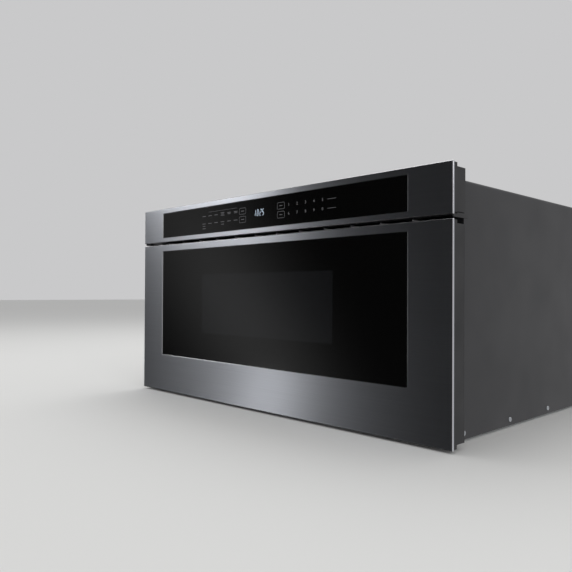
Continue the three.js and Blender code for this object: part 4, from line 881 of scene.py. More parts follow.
@dataclass
class FacePan:
    """A folded stainless face with an opening for its glass.

    Attributes:
        name: the piece's name.
        node: the CAD node that it stands for.
        pane: the CAD node of the glass that lies in its opening.
        body: the CAD body that it moves with.
        bend: outside radius of the folds.
        sheet: thickness of the sheet.
        gap: glass to opening.
        ease: width of the eased edge round the opening.
        fold: depth of the turned edge that shows beside the black moulding behind it.
        flat: a face whose normal is less square than this belongs to a buffed bend.
    """

    name: str
    node: str
    pane: str
    body: str
    bend: float = 1.1 * MM
    sheet: float = 1.0 * MM
    gap: float = 0.3 * MM
    ease: float = 0.5 * MM
    fold: float = 2.6 * MM
    flat: float = 0.995

    def build(self) -> bpy.types.Object:
        """Folds the sheet, cuts the opening, and buffs the bends.

        Returns:
            The face.
        """
        x, y, z = spans(self.node)
        pane_x, _, pane_z = spans(self.pane)
        columns = [x[0], pane_x[0] - self.gap, pane_x[1] + self.gap, x[1]]
        rows = [z[0], pane_z[0] - self.gap, pane_z[1] + self.gap, z[1]]
        piece = Piece(self.name)
        mesh = piece.mesh
        bmesh.ops.create_grid(mesh, x_segments=3, y_segments=3, size=1.5)
        for vert in mesh.verts:
            column, row = round(vert.co.x + 1.5), round(vert.co.y + 1.5)
            vert.co = Vector((columns[column], y[0], rows[row]))
        middle = [f for f in mesh.faces if abs(f.calc_center_median().x) < 1 * MM]
        opening = min(middle, key=lambda f: abs(f.calc_center_median().z - (rows[1] + rows[2]) / 2))
        bmesh.ops.delete(mesh, geom=[opening], context="FACES_ONLY")
        rim = [e for e in mesh.edges if e.is_boundary and not self.at_opening(e, columns, rows)]
        bmesh.ops.translate(mesh, verts=piece.turn_edges(rim), vec=(0, self.fold, 0))
        piece.turn_out(min(mesh.faces, key=lambda f: f.calc_center_median().y), Axis.Y, -1)
        piece.bevel(piece.folds(), self.bend, 4)
        piece.thicken(self.sheet)
        eased = [
            e
            for e in mesh.edges
            if all(abs(v.co.y - y[0]) < NEAR for v in e.verts) and self.at_opening(e, columns, rows)
        ]
        piece.bevel(eased, self.ease, 2)
        for face in mesh.faces:
            face.material_index = int(max(abs(part) for part in face.normal) < self.flat)
        return piece.done(self.body, [STEEL, STEEL_EDGE], [self.node], 25)

    def at_opening(self, edge: bmesh.types.BMEdge, columns: list[float], rows: list[float]) -> bool:
        """Whether an edge lies on the rim of the opening."""
        return all(
            columns[1] - NEAR <= v.co.x <= columns[2] + NEAR
            and rows[1] - NEAR <= v.co.z <= rows[2] + NEAR
            for v in edge.verts
        )


@dataclass
class GlassPane:
    """A pane with its edges ground to a small bevel.

    Attributes:
        name: the piece's name.
        node: the CAD node that it stands for.
        body: the CAD body that it moves with.
        finish: the glass.
        grind: width of the ground edge.
    """

    name: str
    node: str
    body: str
    finish: Finish
    grind: float = 0.4 * MM

    def build(self) -> bpy.types.Object:
        """Cuts the pane and grinds its edges.

        Returns:
            The pane.
        """
        low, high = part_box(self.node)
        piece = Piece(self.name)
        piece.block(low, high)
        piece.bevel(piece.mesh.edges[:], self.grind, 2)
        return piece.done(self.body, [self.finish], [self.node])


@dataclass
class ControlPanel:
    """The touch panel's print and the clock.

    Places are X from the unit's middle and Z above its feet, and a pair of sizes is a width and a height,
    all in millimetres.

    Attributes:
        rows: heights of the two rows of print.
        digits_x: middles of the numerals in a row.
        digit_height: height of a numeral.
        capital: a numeral's height in the built-in font, as a part of the font's size.
        left_x: middles of the dashes left of the clock.
        left_lines: how many dashes stand over each other at each place, for each row.
        left_box_x: middle of the key outlines left of the clock.
        left_box_z: heights of their middles.
        left_box: size of an outline.
        right_box_x: middle of the key outlines right of the clock.
        right_box: size of an outline.
        right_box_z: heights of their middles.
        key_corner: radius of an outline's corners.
        end_x: ends of the bars right of the numerals.
        line: thickness of a printed line.
        clock_x: left sides of the clock's figures, at their feet.
        clock_z: feet and heads of the figures.
        clock_text: what the clock shows.
        figure: width of a figure.
        segment: width of a segment.
        segment_gap: how far a segment ends before the corner.
        slant: how far a figure leans to the right for its height.
        colon: how far the colon stands before the third figure, and its dots from foot and head.
        left_bar: size of the bar in a left outline.
        right_bar: size of the bar in a right outline.
        dash: size of a dash.
        short_dash: size of every second dash.
        dash_pitch: distance between dashes that stand over each other, for each row.
        rule: height of the long rule above the upper row, and its thickness.
        rule_reach: how far the rule reaches beyond the middles of the dashes at its ends.
    """

    rows: Range = (357.0, 342.4)
    digits_x: Sequence[float] = (71.2, 90.8, 110.2, 128.9, 147.5)
    digit_height: float = 4.6
    capital: float = 0.7
    left_x: Sequence[float] = (-164.0, -145.0, -126.0, -106.5, -87.2, -67.8)
    left_lines: Sequence[Sequence[int]] = ((1, 1, 1, 3, 2, 2), (3, 1, 1, 2, 1, 1))
    left_box_x: float = -48.2
    left_box_z: Range = (357.0, 341.8)
    left_box: Range = (18.5, 11.5)
    right_box_x: float = 52.2
    right_box: Range = (18.0, 11.5)
    right_box_z: Range = (357.0, 341.8)
    key_corner: float = 2.6
    end_x: Range = (157.9, 176.0)
    line: float = 0.5
    clock_x: Sequence[float] = (-17.2, -9.6, -2.0, 4.5)
    clock_z: Range = (345.0, 356.0)
    clock_text: str = "1025"
    figure: float = 3.6
    segment: float = 0.45
    segment_gap: float = 0.15
    slant: float = 0.15
    colon: Range = (1.4, 3.2)
    left_bar: Range = (8.5, 1.0)
    right_bar: Range = (7.0, 0.9)
    dash: Range = (10.5, 0.9)
    short_dash: Range = (8.5, 0.9)
    dash_pitch: Range = (2.4, 4.6)
    rule: Range = (7.2, 0.35)
    rule_reach: float = 4.0

    def build(self) -> None:
        """Prints the panel and lights the clock."""
        self.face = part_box("control_glass")[0].y
        self.print_marks()
        self.light_clock()

    def bar(self, piece: Piece, middle: Range, size: Range) -> None:
        """Adds a printed bar.

        Args:
            piece: the piece to add to.
            middle: its middle, X and Z in millimetres.
            size: its width and height in millimetres.
        """
        (x, z), (width, height) = middle, size
        low = ((x - width / 2) * MM, self.face - HAIR, (z - height / 2) * MM)
        high = ((x + width / 2) * MM, self.face, (z + height / 2) * MM)
        piece.block(low, high)

    def key_box(self, piece: Piece, middle: Range, size: Range) -> None:
        """Adds a printed key outline with round corners.

        Args:
            piece: the piece to add to.
            middle: its middle, X and Z in millimetres.
            size: its width and height in millimetres.
        """
        mesh = piece.mesh
        centre = Vector((middle[0] * MM, self.face, middle[1] * MM))
        reach = Vector((size[0] / 2 * MM, 0, size[1] / 2 * MM))
        faces = piece.block(centre - reach - Vector((0, HAIR, 0)), centre + reach)
        through = {e for f in faces for e in f.edges if abs(e.verts[0].co.y - e.verts[1].co.y) > HAIR / 2}
        piece.bevel(through, self.key_corner * MM, 4)
        mesh.normal_update()
        caps = [
            f
            for f in mesh.faces
            if abs(f.normal.y) > 0.9 and (f.calc_center_median() - centre).length < 0.1 * MM
        ]
        bmesh.ops.inset_individual(mesh, faces=caps, thickness=self.line * MM, use_even_offset=True)
        rims = [e for f in caps for e in f.edges]
        bmesh.ops.delete(mesh, geom=caps, context="FACES_ONLY")
        bmesh.ops.bridge_loops(mesh, edges=rims)

    def numeral(self, piece: Piece, text: str, middle: Range, height: float) -> None:
        """Adds a printed numeral.

        Args:
            piece: the piece to add to.
            text: the numeral.
            middle: its middle, X and Z in millimetres.
            height: its height in millimetres.
        """
        curve = bpy.data.curves.new("numeral", "FONT")
        curve.body, curve.align_x, curve.align_y = text, "CENTER", "CENTER"
        curve.size, curve.resolution_u = height * MM / self.capital, 3
        helper = bpy.data.objects.new("numeral", curve)
        flat = bpy.data.meshes.new_from_object(helper)
        turn = Matrix.Rotation(math.pi / 2, 4, "X")
        flat.transform(Matrix.Translation((middle[0] * MM, self.face, middle[1] * MM)) @ turn)
        before = set(piece.mesh.faces)
        piece.mesh.from_mesh(flat)
        faces = [f for f in piece.mesh.faces if f not in before]
        piece.grow(faces, (0, -HAIR, 0))
        bpy.data.objects.remove(helper)
        bpy.data.curves.remove(curve)
        bpy.data.meshes.remove(flat)

    def print_marks(self) -> None:
        """Prints numerals, key boxes and generic dashes."""
        piece = Piece("panel_print")
        for row, z in enumerate(self.rows):
            for column, x in enumerate(self.digits_x):
                self.numeral(piece, str((row * 5 + column + 1) % 10), (x, z), self.digit_height)
            self.bar(piece, (sum(self.end_x) / 2, z), (self.end_x[1] - self.end_x[0], self.line))
            pitch = self.dash_pitch[row]
            for x, count in zip(self.left_x, self.left_lines[row]):
                first = z if row else z + pitch / 2 * (count - 1)
                for index in range(count):
                    self.bar(piece, (x, first - pitch * index), self.short_dash if index % 2 else self.dash)
        for x, heights, box, bar in (
            (self.left_box_x, self.left_box_z, self.left_box, self.left_bar),
            (self.right_box_x, self.right_box_z, self.right_box, self.right_bar),
        ):
            for z in heights:
                self.key_box(piece, (x, z), box)
                self.bar(piece, (x, z), bar)
        start, end = self.left_x[1] - self.rule_reach, self.left_x[-1] + self.rule_reach
        self.bar(piece, ((start + end) / 2, self.rows[0] + self.rule[0]), (end - start, self.rule[1]))
        piece.face_out()
        piece.done("chassis", [PANEL_PRINT])

    def light_clock(self) -> None:
        """Lights the clock's slanted seven-segment figures."""
        piece = Piece("clock_figures")
        strokes = {
            "0": "abcdef",
            "1": "bc",
            "2": "abged",
            "5": "afgcd",
        }
        low, high = self.clock_z
        for text, x in zip(self.clock_text, self.clock_x):
            for stroke in strokes[text]:
                self.stroke(piece, stroke, x, low, high)
        back, rise = self.colon
        for z in (low + rise, high - rise):
            x = self.clock_x[2] - back + self.slant * (z - low)
            self.bar(piece, (x, z), (self.segment, self.segment))
        piece.face_out()
        piece.done("chassis", [CLOCK_LIGHT])

    def stroke(self, piece: Piece, name: str, left: float, low: float, high: float) -> None:
        """Adds one segment of a figure.

        Args:
            piece: the piece to add to.
            name: the segment's usual letter, a to g.
            left: the figure's left side at its foot, in millimetres.
            low: its foot.
            high: its head.
        """
        half, width, middle = self.segment / 2, self.figure, (low + high) / 2
        across = {"a": high - half, "g": middle, "d": low + half}
        if name in across:
            start, end = Vector((half, across[name])), Vector((width - half, across[name]))
        else:
            x = half if name in "ef" else width - half
            bottom, top = (middle, high - half) if name in "bf" else (low + half, middle)
            start, end = Vector((x, bottom)), Vector((x, top))
        along = (end - start).normalized()
        aside = Vector((along.y, along.x)) * half
        start, end, taper = start + along * self.segment_gap, end - along * self.segment_gap, along * half
        points = [start, start + taper + aside, end - taper + aside]
        points += [end, end - taper - aside, start + taper - aside]
        verts = [
            piece.mesh.verts.new(((left + u + self.slant * (z - low)) * MM, self.face, z * MM))
            for u, z in points
        ]
        piece.grow([piece.mesh.faces.new(verts)], (0, -HAIR, 0))


# ---- Inside the drawer ----


@dataclass
class DrawerBin:
    """The deep-drawn bin with round corners, and the tray in it.

    Attributes:
        wall: thickness of the bin's sheet.
        rim: how far the turned rim stands out.
        corner: radius of the back corners.
        foot: radius between floor and walls.
        tray_corner: radius of the tray's corners.
        tray_edge: rounding of its edges.
    """

    wall: float = 2.0 * MM
    rim: float = 4.0 * MM
    corner: float = 22.0 * MM
    foot: float = 7.0 * MM
    tray_corner: float = 14.0 * MM
    tray_edge: float = 1.2 * MM

    def build(self) -> None:
        """Makes the bin and the tray."""
        self.make_bin()
        self.make_tray()

    def make_bin(self) -> None:
        """Draws the bin from a block, opens it, gives it a wall and turns its rim."""
        low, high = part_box("drawer_bin")
        low, high = Vector(low), Vector(high)
        body_low = Vector((low.x + self.rim, low.y, low.z))
        body_high = Vector((high.x - self.rim, high.y - self.rim, high.z))
        piece = Piece("drawer_bin_shell")
        mesh = piece.mesh
        piece.block(body_low, body_high)
        back = piece.edges_where(lambda co: co.y > body_high.y - MM)
        upright = [e for e in back if abs(e.verts[0].co.z - e.verts[1].co.z) > MM]
        piece.bevel(upright, self.corner, 10)
        piece.bevel(piece.edges_where(lambda co: co.z < body_low.z + NEAR), self.foot, 5)
        opened = [f for f in mesh.faces if f.normal.z > 0.99 or f.normal.y < -0.99]
        bmesh.ops.delete(mesh, geom=opened, context="FACES")
        top = [e for e in piece.edges_where(lambda co: co.z > body_high.z - NEAR) if e.is_boundary]
        for vert in piece.turn_edges(top):
            self.move_out(vert, body_high)
        piece.turn_out(min(mesh.faces, key=lambda f: f.calc_center_median().z), Axis.Z, -1)
        piece.thicken(self.wall)
        piece.done("drawer", [OVEN_PAINT], ["drawer_bin"], 40)

    def move_out(self, vert: bmesh.types.BMVert, high: Vector) -> None:
        """Moves a vertex of the rim outwards by the rim's width.

        Args:
            vert: the vertex.
            high: the highest corner of the bin's body.
        """
        side = 1 if vert.co.x > 0 else -1
        corner = Vector((side * (high.x - self.corner), high.y - self.corner))
        flat = Vector((vert.co.x, vert.co.y))
        if flat.y > corner.y and abs(flat.x) > abs(corner.x):
            out = (flat - corner).normalized()
        elif flat.y > corner.y:
            out = Vector((0, 1))
        else:
            out = Vector((side, 0))
        vert.co.x += out.x * self.rim
        vert.co.y += out.y * self.rim

    def make_tray(self) -> None:
        """Presses the glass-ceramic tray with round corners and soft edges."""
        low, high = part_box("ceramic_tray")
        piece = Piece("ceramic_tray_plate")
        piece.block(low, high)
        upright = [e for e in piece.mesh.edges if abs(e.verts[0].co.z - e.verts[1].co.z) > MM]
        piece.bevel(upright, self.tray_corner, 8)
        piece.bevel([e for e in piece.mesh.edges if e.calc_face_angle(0) > 1], self.tray_edge, 3)
        piece.done("drawer", [TRAY], ["ceramic_tray"])


# ---- Chassis ----


@dataclass
class VentStrip:
    """The black moulded strip in the gap under the control panel, with its ribs and end walls.

    Attributes:
        sheet: thickness of the shelf and of its upright back.
        pitch: distance between ribs.
        rib: thickness of a rib.
        tip: radius of a rib's lower edges.
        bright: height of the painted glint at a rib's lower end.
        wall: thickness of the end walls that close the gap's ends.
        front: how far the end walls start behind the front.
        ease: rounding of their edges.
    """

    sheet: float = 1.5 * MM
    pitch: float = 56 * MM
    rib: float = 2.0 * MM
    tip: float = 0.7 * MM
    bright: float = 2.2 * MM
    wall: float = 1.8 * MM
    front: float = 1.5 * MM
    ease: float = 0.3 * MM

    def build(self) -> None:
        """Moulds the strip and the end walls."""
        self.make_strip()
        self.make_ends()

    def make_strip(self) -> None:
        """Draws the shelf's section along X, and hangs the ribs under it."""
        x, y, z = spans("vent_grille")
        low = spans("control_frame")[2][0] + 0.3 * MM
        section = [
            (y[0], low),
            (y[1], low),
            (y[1], z[1]),
            (y[1] - self.sheet, z[1]),
            (y[1] - self.sheet, low + self.sheet),
            (y[0], low + self.sheet),
        ]
        piece = Piece("vent_strip")
        verts = [piece.mesh.verts.new((x[0], at, height)) for at, height in section]
        piece.grow([piece.mesh.faces.new(verts)], (x[1] - x[0], 0, 0))
        count = 2 * int((x[1] - self.pitch / 2) / self.pitch)
        reach = self.pitch * (count - 1) / 2
        for middle in spaced(-reach, reach, count):
            half = self.rib / 2
            faces = piece.block((middle - half, y[0], z[0]), (middle + half, y[1], low + self.sheet / 2))
            under = {e for f in faces for e in f.edges if all(v.co.z < z[0] + NEAR for v in e.verts)}
            piece.bevel(under, self.tip, 3)
        piece.face_out()
        # The ribs get a painted glint at their lower ends, a pale colour in place of light caught there.
        finish = RibbedGrille("black_grille_painted_glint_ribs", "#1b1b1d", 0.45, tip=z[0] + self.bright)
        piece.done("chassis", [finish], ["vent_grille"])

    def make_ends(self) -> None:
        """Hangs a wall under each end of the control housing, so that the gap is closed at its ends."""
        x, y, z = spans("control_housing")
        low = spans("vent_grille")[2][0]
        piece = Piece("vent_end_walls")
        for side in (-1, 1):
            places = sorted((side * x[1], side * (x[1] - self.wall)))
            piece.block((places[0], y[0] + self.front, low), (places[1], y[1], z[0] + self.wall))
        piece.bevel(piece.mesh.edges[:], self.ease, 2)
        piece.done("chassis", [BLACK_PLASTIC])


@dataclass
class Chassis:
    """The folded cover with its beads and screws, the bare rear plate and the cord gland.

    Attributes:
        head: radius of a screw's head.
        rise: height of a screw's head.
        fold: outside radius of the cover's folds.
        sheet: thickness of the cover's sheet.
        slot: width of an air slot in the cover's sides.
        slot_pitch: distance between air slots.
        slots: number of air slots on a side.
        slots_back: middle of the slots, from the cover's back edge.
        slot_z: heights between which the slots run.
        bead_x: places of the beads on the cover's top.
        bead_width: width of a bead.
        bead_height: height of a bead.
        bead_end: distance of a bead's end from the cover's.
        bead_round: rounding of a bead's ends as a part of half its width, and of its rim as a part of
            its height.
        crown: rounding of a screw's head, as a part of its height.
        recess: a screw's rim as a part of its radius, and its recess as a part of its height.
        row_end: distance of a row's last screw from the cover's end.
        low_row: height of the low rows above the cover's lower edge.
        top_row: distance of the top rows from the cover's edge.
        side_row: distance of the upright rows from the cover's side.
        side_end: distance of their last screw from the cover's lower and upper edge.
        plate: width and height of the rear plate.
        plate_sheet: thickness of its sheet.
        plate_in: its left edge, as seen from the front, from the rear sheet's right end.
        plate_low: height of its lower edge above the feet.
        plate_corner: radius of its corners.
        rivet: radius of a rivet's head.
        rivet_in: distance of the rivets from the plate's edges.
    """

    head: float = 4.0 * MM
    rise: float = 1.8 * MM
    fold: float = 5.0 * MM
    sheet: float = 1.0 * MM
    slot: float = 5.0 * MM
    slot_pitch: float = 14.0 * MM
    slots: int = 7
    slots_back: float = 95.0 * MM
    slot_z: Range = (270.0 * MM, 330.0 * MM)
    bead_x: Sequence[float] = (-0.22, 0.0, 0.22)
    bead_width: float = 16 * MM
    bead_height: float = 1.6 * MM
    bead_end: float = 60 * MM
    bead_round: Range = (0.96, 0.7)
    crown: float = 0.7
    recess: Range = (0.22, 0.35)
    row_end: float = 30 * MM
    low_row: float = 9 * MM
    top_row: float = 12 * MM
    side_row: float = 10 * MM
    side_end: float = 100 * MM
    plate: Range = (110 * MM, 65 * MM)
    plate_sheet: float = 0.6 * MM
    plate_in: float = 170 * MM
    plate_low: float = 200 * MM
    plate_corner: float = 5 * MM
    rivet: float = 1.8 * MM
    rivet_in: float = 6 * MM

    def build(self) -> None:
        """Adds every detail of the casing."""
        self.fold_cover()
        self.add_screws()
        self.add_beads()
        self.add_plate()
        self.add_gland()

    def fold_cover(self) -> None:
        """Folds the cover from one sheet, with round bends and air slots in its sides."""
        x, y, z = spans("outer_cover")
        side = [z[0], *self.slot_z, z[1]]
        section = [(x[0], at) for at in side] + [(x[1], at) for at in reversed(side)]
        middle = y[1] - self.slots_back
        reach = self.slot_pitch * (self.slots - 1) / 2
        slots = spaced(middle - reach, middle + reach, self.slots)
        cuts = [at + edge for at in slots for edge in (-self.slot / 2, self.slot / 2)]
        lengths = [y[0], *cuts, y[1]]
        piece = Piece("folded_cover")
        mesh = piece.mesh
        columns, rows = len(section) - 1, len(lengths) - 1
        bmesh.ops.create_grid(mesh, x_segments=columns, y_segments=rows, size=0.5)
        for vert in mesh.verts:
            across, along = round((vert.co.x + 0.5) * columns), round((vert.co.y + 0.5) * rows)
            place = section[across]
            vert.co = Vector((place[0], lengths[along], place[1]))
        opened = [f for f in mesh.faces if self.in_slot(f.calc_center_median(), slots)]
        bmesh.ops.delete(mesh, geom=opened, context="FACES")
        piece.turn_out(max(mesh.faces, key=lambda f: f.calc_center_median().z), Axis.Z, 1)
        piece.bevel(piece.folds(), self.fold, 6)
        piece.thicken(self.sheet)
        piece.done("chassis", [DARK_SHEET], ["outer_cover"])

    def in_slot(self, place: Vector, slots: list[float]) -> bool:
        """Whether a place on the cover's side lies in an air slot."""
        low, high = self.slot_z
        return low < place.z < high and any(abs(place.y - at) < self.slot / 2 for at in slots)

    def screw(self, piece: Piece, place: Vector, out: Vector) -> None:
        """Adds a pan-head screw with a cross recess.

        Args:
            piece: the piece to add to.
            place: the middle of the head's seat.
            out: the direction in which the head stands.
        """
        frame_of = Matrix.Translation(place) @ out.to_track_quat("Z", "Y").to_matrix().to_4x4()
        before = set(piece.mesh.verts)
        bmesh.ops.create_cone(
            piece.mesh,
            cap_ends=True,
            segments=14,
            radius1=self.head,
            radius2=self.head,
            depth=self.rise,
            matrix=Matrix.Translation((0, 0, self.rise / 2)),
        )
        new = [v for v in piece.mesh.verts if v not in before]
        rim = {e for v in new for e in v.link_edges if all(u.co.z > self.rise * 0.9 for u in e.verts)}
        piece.bevel(rim, self.rise * self.crown, 2)
        fresh = [v for v in piece.mesh.verts if v not in before]
        cap = max((f for v in fresh for f in v.link_faces), key=lambda f: f.calc_center_median().z)
        bmesh.ops.inset_region(piece.mesh, faces=[cap], thickness=self.head * self.recess[0])
        bmesh.ops.translate(piece.mesh, verts=list(cap.verts), vec=(0, 0, -self.rise * self.recess[1]))
        fresh = [v for v in piece.mesh.verts if v not in before]
        bmesh.ops.transform(piece.mesh, matrix=frame_of, verts=fresh)

    def add_screws(self) -> None:
        """Screws along the cover's sides, its rear edge and round the rear sheet."""
        x, y, z = spans("outer_cover")
        rear = spans("rear_cover")[1][1]
        up, back = Vector(Axis.Z.value), Vector(Axis.Y.value)
        piece = Piece("casing_screws")
        for at in spaced(y[0] + self.row_end, y[1] - self.row_end, 5):
            for side in (-1, 1):
                self.screw(piece, Vector((side * x[1], at, z[0] + self.low_row)), Vector((side, 0, 0)))
        for at in spaced(x[0] + self.row_end, x[1] - self.row_end, 5):
            self.screw(piece, Vector((at, y[1] - self.top_row, z[1])), up)
            self.screw(piece, Vector((at, rear, z[1] - self.top_row)), back)
            self.screw(piece, Vector((at, rear, z[0] + self.low_row)), back)
        for at in spaced(z[0] + self.side_end, z[1] - self.side_end, 2):
            for side in (-1, 1):
                self.screw(piece, Vector((side * (x[1] - self.side_row), rear, at)), back)
        piece.done("chassis", [SLIDE_STEEL])

    def add_beads(self) -> None:
        """Long shallow beads pressed into the cover's top."""
        _, y, z = spans("outer_cover")
        piece = Piece("cover_beads")
        half, top = self.bead_width / 2, z[1]
        for x in self.bead_x:
            low = (x - half, y[0] + self.bead_end, top - 0.2 * MM)
            faces = piece.block(low, (x + half, y[1] - self.bead_end, top + self.bead_height))
            upright = {e for f in faces for e in f.edges if abs(e.verts[0].co.z - e.verts[1].co.z) > MM}
            piece.bevel(upright, half * self.bead_round[0], 6)
        rim = [e for e in piece.mesh.edges if all(v.co.z > top + MM for v in e.verts)]
        piece.bevel(rim, self.bead_height * self.bead_round[1], 3)
        piece.done("chassis", [DARK_SHEET])

    def add_plate(self) -> None:
        """A bare aluminium plate with four rivets on the rear sheet."""
        x, y, _ = spans("rear_cover")
        piece = Piece("rear_plate")
        left, low = x[1] - self.plate_in, self.plate_low
        right, high = left + self.plate[0], low + self.plate[1]
        front = y[1] + self.plate_sheet
        piece.block((left, y[1], low), (right, front, high))
        through = [e for e in piece.mesh.edges if abs(e.verts[0].co.y - e.verts[1].co.y) > 0.1 * MM]
        piece.bevel(through, self.plate_corner, 4)
        flat = Matrix.Diagonal((1, 0.5, 1, 1))
        for rivet_x in (left + self.rivet_in, right - self.rivet_in):
            for z in (low + self.rivet_in, high - self.rivet_in):
                place = Matrix.Translation((rivet_x, front, z)) @ flat
                bmesh.ops.create_icosphere(piece.mesh, subdivisions=2, radius=self.rivet, matrix=place)
        piece.done("chassis", [ALUMINIUM])

    def add_gland(self) -> None:
        """The cord gland: a tapered, ribbed black sleeve round an open bore."""
        x, y, z = spans("cord_gland")
        centre = Vector(((x[0] + x[1]) / 2, 0, (z[0] + z[1]) / 2))
        wall = spans("rear_cover")[1][1] + 0.3 * MM
        piece = Piece("cord_gland_sleeve")
        # Each point is a radius in millimetres and a place along Y: from the wall, in millimetres, for the
        # nut, the flange and the rib, and from the CAD node for the ends.
        inner = [(5.0, y[0]), (9.0, y[0])]
        nut = [(9.0, -10.5), (13.0, -10.3), (13.0, -1.7), (9.0, -1.6)]
        flange = [(9.0, 0.0), (15.0, 0.0), (15.0, 3.4), (13.6, 4.6), (9.0, 4.7)]
        rib = [(9.0, 6.5), (8.2, 6.7), (8.2, 8.0), (8.8, 8.2)]
        end = [(8.6, y[1] - 1.0 * MM), (7.6, y[1]), (5.6, y[1]), (5.0, y[1] - 0.6 * MM)]
        profile = inner + [(radius, wall + at * MM) for radius, at in nut + flange + rib] + end
        verts = [piece.mesh.verts.new((centre.x + r * MM, at, centre.z)) for r, at in profile]
        edges = [piece.mesh.edges.new((a, b)) for a, b in zip(verts, verts[1:] + verts[:1])]
        bmesh.ops.spin(
            piece.mesh,
            geom=verts + edges,
            cent=centre,
            axis=(0, 1, 0),
            angle=math.tau,
            steps=28,
            use_merge=True,
            use_duplicate=False,
        )
        bmesh.ops.remove_doubles(piece.mesh, verts=piece.mesh.verts, dist=0.001 * MM)
        piece.face_out()
        piece.done("chassis", [BLACK_PLASTIC], ["cord_gland"])


# ---- Finishes of the CAD nodes that stay ----


@dataclass
class CadFinishes:
    """Which finish each carried-over CAD node gets.

    Attributes:
        power_parts: where the power board's parts begin, above its node's foot.
        control_parts: where the control board's parts begin, behind its node's front.
        coil: how far the coil stands out of the transformer's core at either end.
        core_foot: height of the core above its node's foot.
        core_top: how far the core's tone reaches above the node.
        motor_core: half the thickness of the fan motor's core.
    """

    power_parts: float = 13.8 * MM
    control_parts: float = 9.2 * MM
    coil: float = 14.0 * MM
    core_foot: float = 2.5 * MM
    core_top: float = 1.0 * MM
    motor_core: float = 7.0 * MM

    def build(self) -> None:
        """Gives every CAD node its finish."""
        power_face = spans("power_board")[2][0] + self.power_parts
        control_face = spans("control_board")[1][0] + self.control_parts
        x, y, z = spans("hv_transformer")
        core_low = Vector((x[0], y[0] + self.coil, z[0] + self.core_foot))
        core_high = Vector((x[1], y[1] - self.coil, z[1] + self.core_top))
        core = (tuple((core_low + core_high) / 2), tuple((core_high - core_low) / 2))
        motor_core = (tuple(sum(part) / 2 for part in spans("fan_motor")), (self.motor_core, 1, 1))
        finishes = {
            BLACK_PLASTIC: (
                "door_frame choke_cover control_housing display_module fan_shroud air_duct "
                "interlock_switch_left interlock_switch_right"
            ),
            ZINC: (
                "base_plate rear_cover rear_support stirrer_motor waveguide door_choke lamp_holder "
                "drive_motor motor_bracket slide_bracket_left slide_bracket_right"
            ),
            DARK_SHEET: "door_back front_frame",
            OVEN_PAINT: "oven_cavity",
            SCREEN: "window_screen",
            CLEAR: "inner_pane oven_lamp",
            MICA: "stirrer_cover",
            ALUMINIUM: "stirrer magnetron hv_capacitor",
            PALE_PLASTIC: "fan_blade shaft_gear motor_gear rack_left rack_right pinion_left pinion_right",
            SLIDE_STEEL: (
                "drive_shaft slide_outer_left slide_outer_right slide_middle_left slide_middle_right "
                "slide_inner_left slide_inner_right"
            ),
            RED_PLASTIC: "switch_plunger_left switch_plunger_right",
            StackedSheets("transformer_core_and_coil", "#4a443e", 0.5, core=core): "hv_transformer",
            StackedSheets("fan_motor_core", "#55504a", 0.5, across=Axis.X, core=motor_core): "fan_motor",
            CircuitBoard("power_circuit_board", "#14522f", 0.35, level=power_face): "power_board",
            CircuitBoard(
                "control_circuit_board", "#14522f", 0.35, face=Axis.Y, level=control_face
            ): "control_board",
        }
        for finish, names in finishes.items():
            for name in names.split():
                self.dress(name, finish)

    def dress(self, name: str, finish: Finish) -> None:
        """Gives one CAD node a finish in all its material slots.

        Args:
            name: the node's name.
            finish: its finish.
        """
        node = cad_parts[name]
        if not node.material_slots:
            node.data.materials.append(None)
        for place in node.material_slots:
            place.material = finish.material()
        LOG.info("%s: %s", name, finish.name)


# ---- Camera, floor and light ----


@dataclass(frozen=True)
class Glow:
    """A soft patch of light that only mirrors see.

    Attributes:
        azimuth: its middle, in degrees from -Y towards -X.
        elevation: its middle, in degrees above the horizon.
        width: its spread across, in degrees.
        height: its spread upwards, in degrees.
        lean: how far it leans, in degrees of azimuth for each degree of elevation.
        level: its brightness in the middle.
    """

    azimuth: float
    elevation: float
    width: float
    height: float
    lean: float
    level: float

    def build(self, tree: Tree, azimuth: Socket, elevation: Socket) -> Socket:
        """Makes the patch from the directions in degrees.

        Args:
            tree: the world's node tree.
            azimuth: azimuth of the ray.
            elevation: elevation of the ray.

        Returns:
            Its brightness along the ray.
        """
        rise = add(tree, "ShaderNodeMath", {0: elevation, 1: -self.elevation}, operation="ADD")
        leaning = {0: rise, 1: self.lean, 2: self.azimuth}
        middle = add(tree, "ShaderNodeMath", leaning, operation="MULTIPLY_ADD")
        aside = add(tree, "ShaderNodeMath", {0: azimuth, 1: middle}, operation="SUBTRACT")
        spot = add(tree, "ShaderNodeCombineXYZ", {0: aside, 1: rise})
        size = (self.width * math.sqrt(2), self.height * math.sqrt(2), 1.0)
        far = add(tree, "ShaderNodeVectorMath", {0: spot, 1: size}, operation="DIVIDE")
        square = add(tree, "ShaderNodeVectorMath", {0: far, 1: far}, "Value", operation="DOT_PRODUCT")
        falling = add(tree, "ShaderNodeMath", {0: square, 1: -1.0}, operation="MULTIPLY")
        shape = add(tree, "ShaderNodeMath", {0: falling}, operation="EXPONENT")
        return add(tree, "ShaderNodeMath", {0: shape, 1: self.level}, operation="MULTIPLY")


@dataclass(frozen=True)
class Lamp:
    """A soft rectangular lamp.

    Attributes:
        name: the lamp's name.
        place: where it hangs, in metres.
        aim: the point that it faces.
        size: its width and height in metres.
        power: its power in watts.
    """

    name: str
    place: Sequence[float]
    aim: Sequence[float]
    size: Range
    power: float

    def build(self) -> None:
        """Hangs the lamp."""
        data = bpy.data.lights.new(self.name, "AREA")
        data.shape, data.size, data.size_y, data.energy = "RECTANGLE", *self.size, self.power
        lamp = stand(self.name, data)
        lamp.location = self.place
        lamp.rotation_mode = "QUATERNION"
        lamp.rotation_quaternion = (Vector(self.aim) - Vector(self.place)).to_track_quat("-Z", "Y")


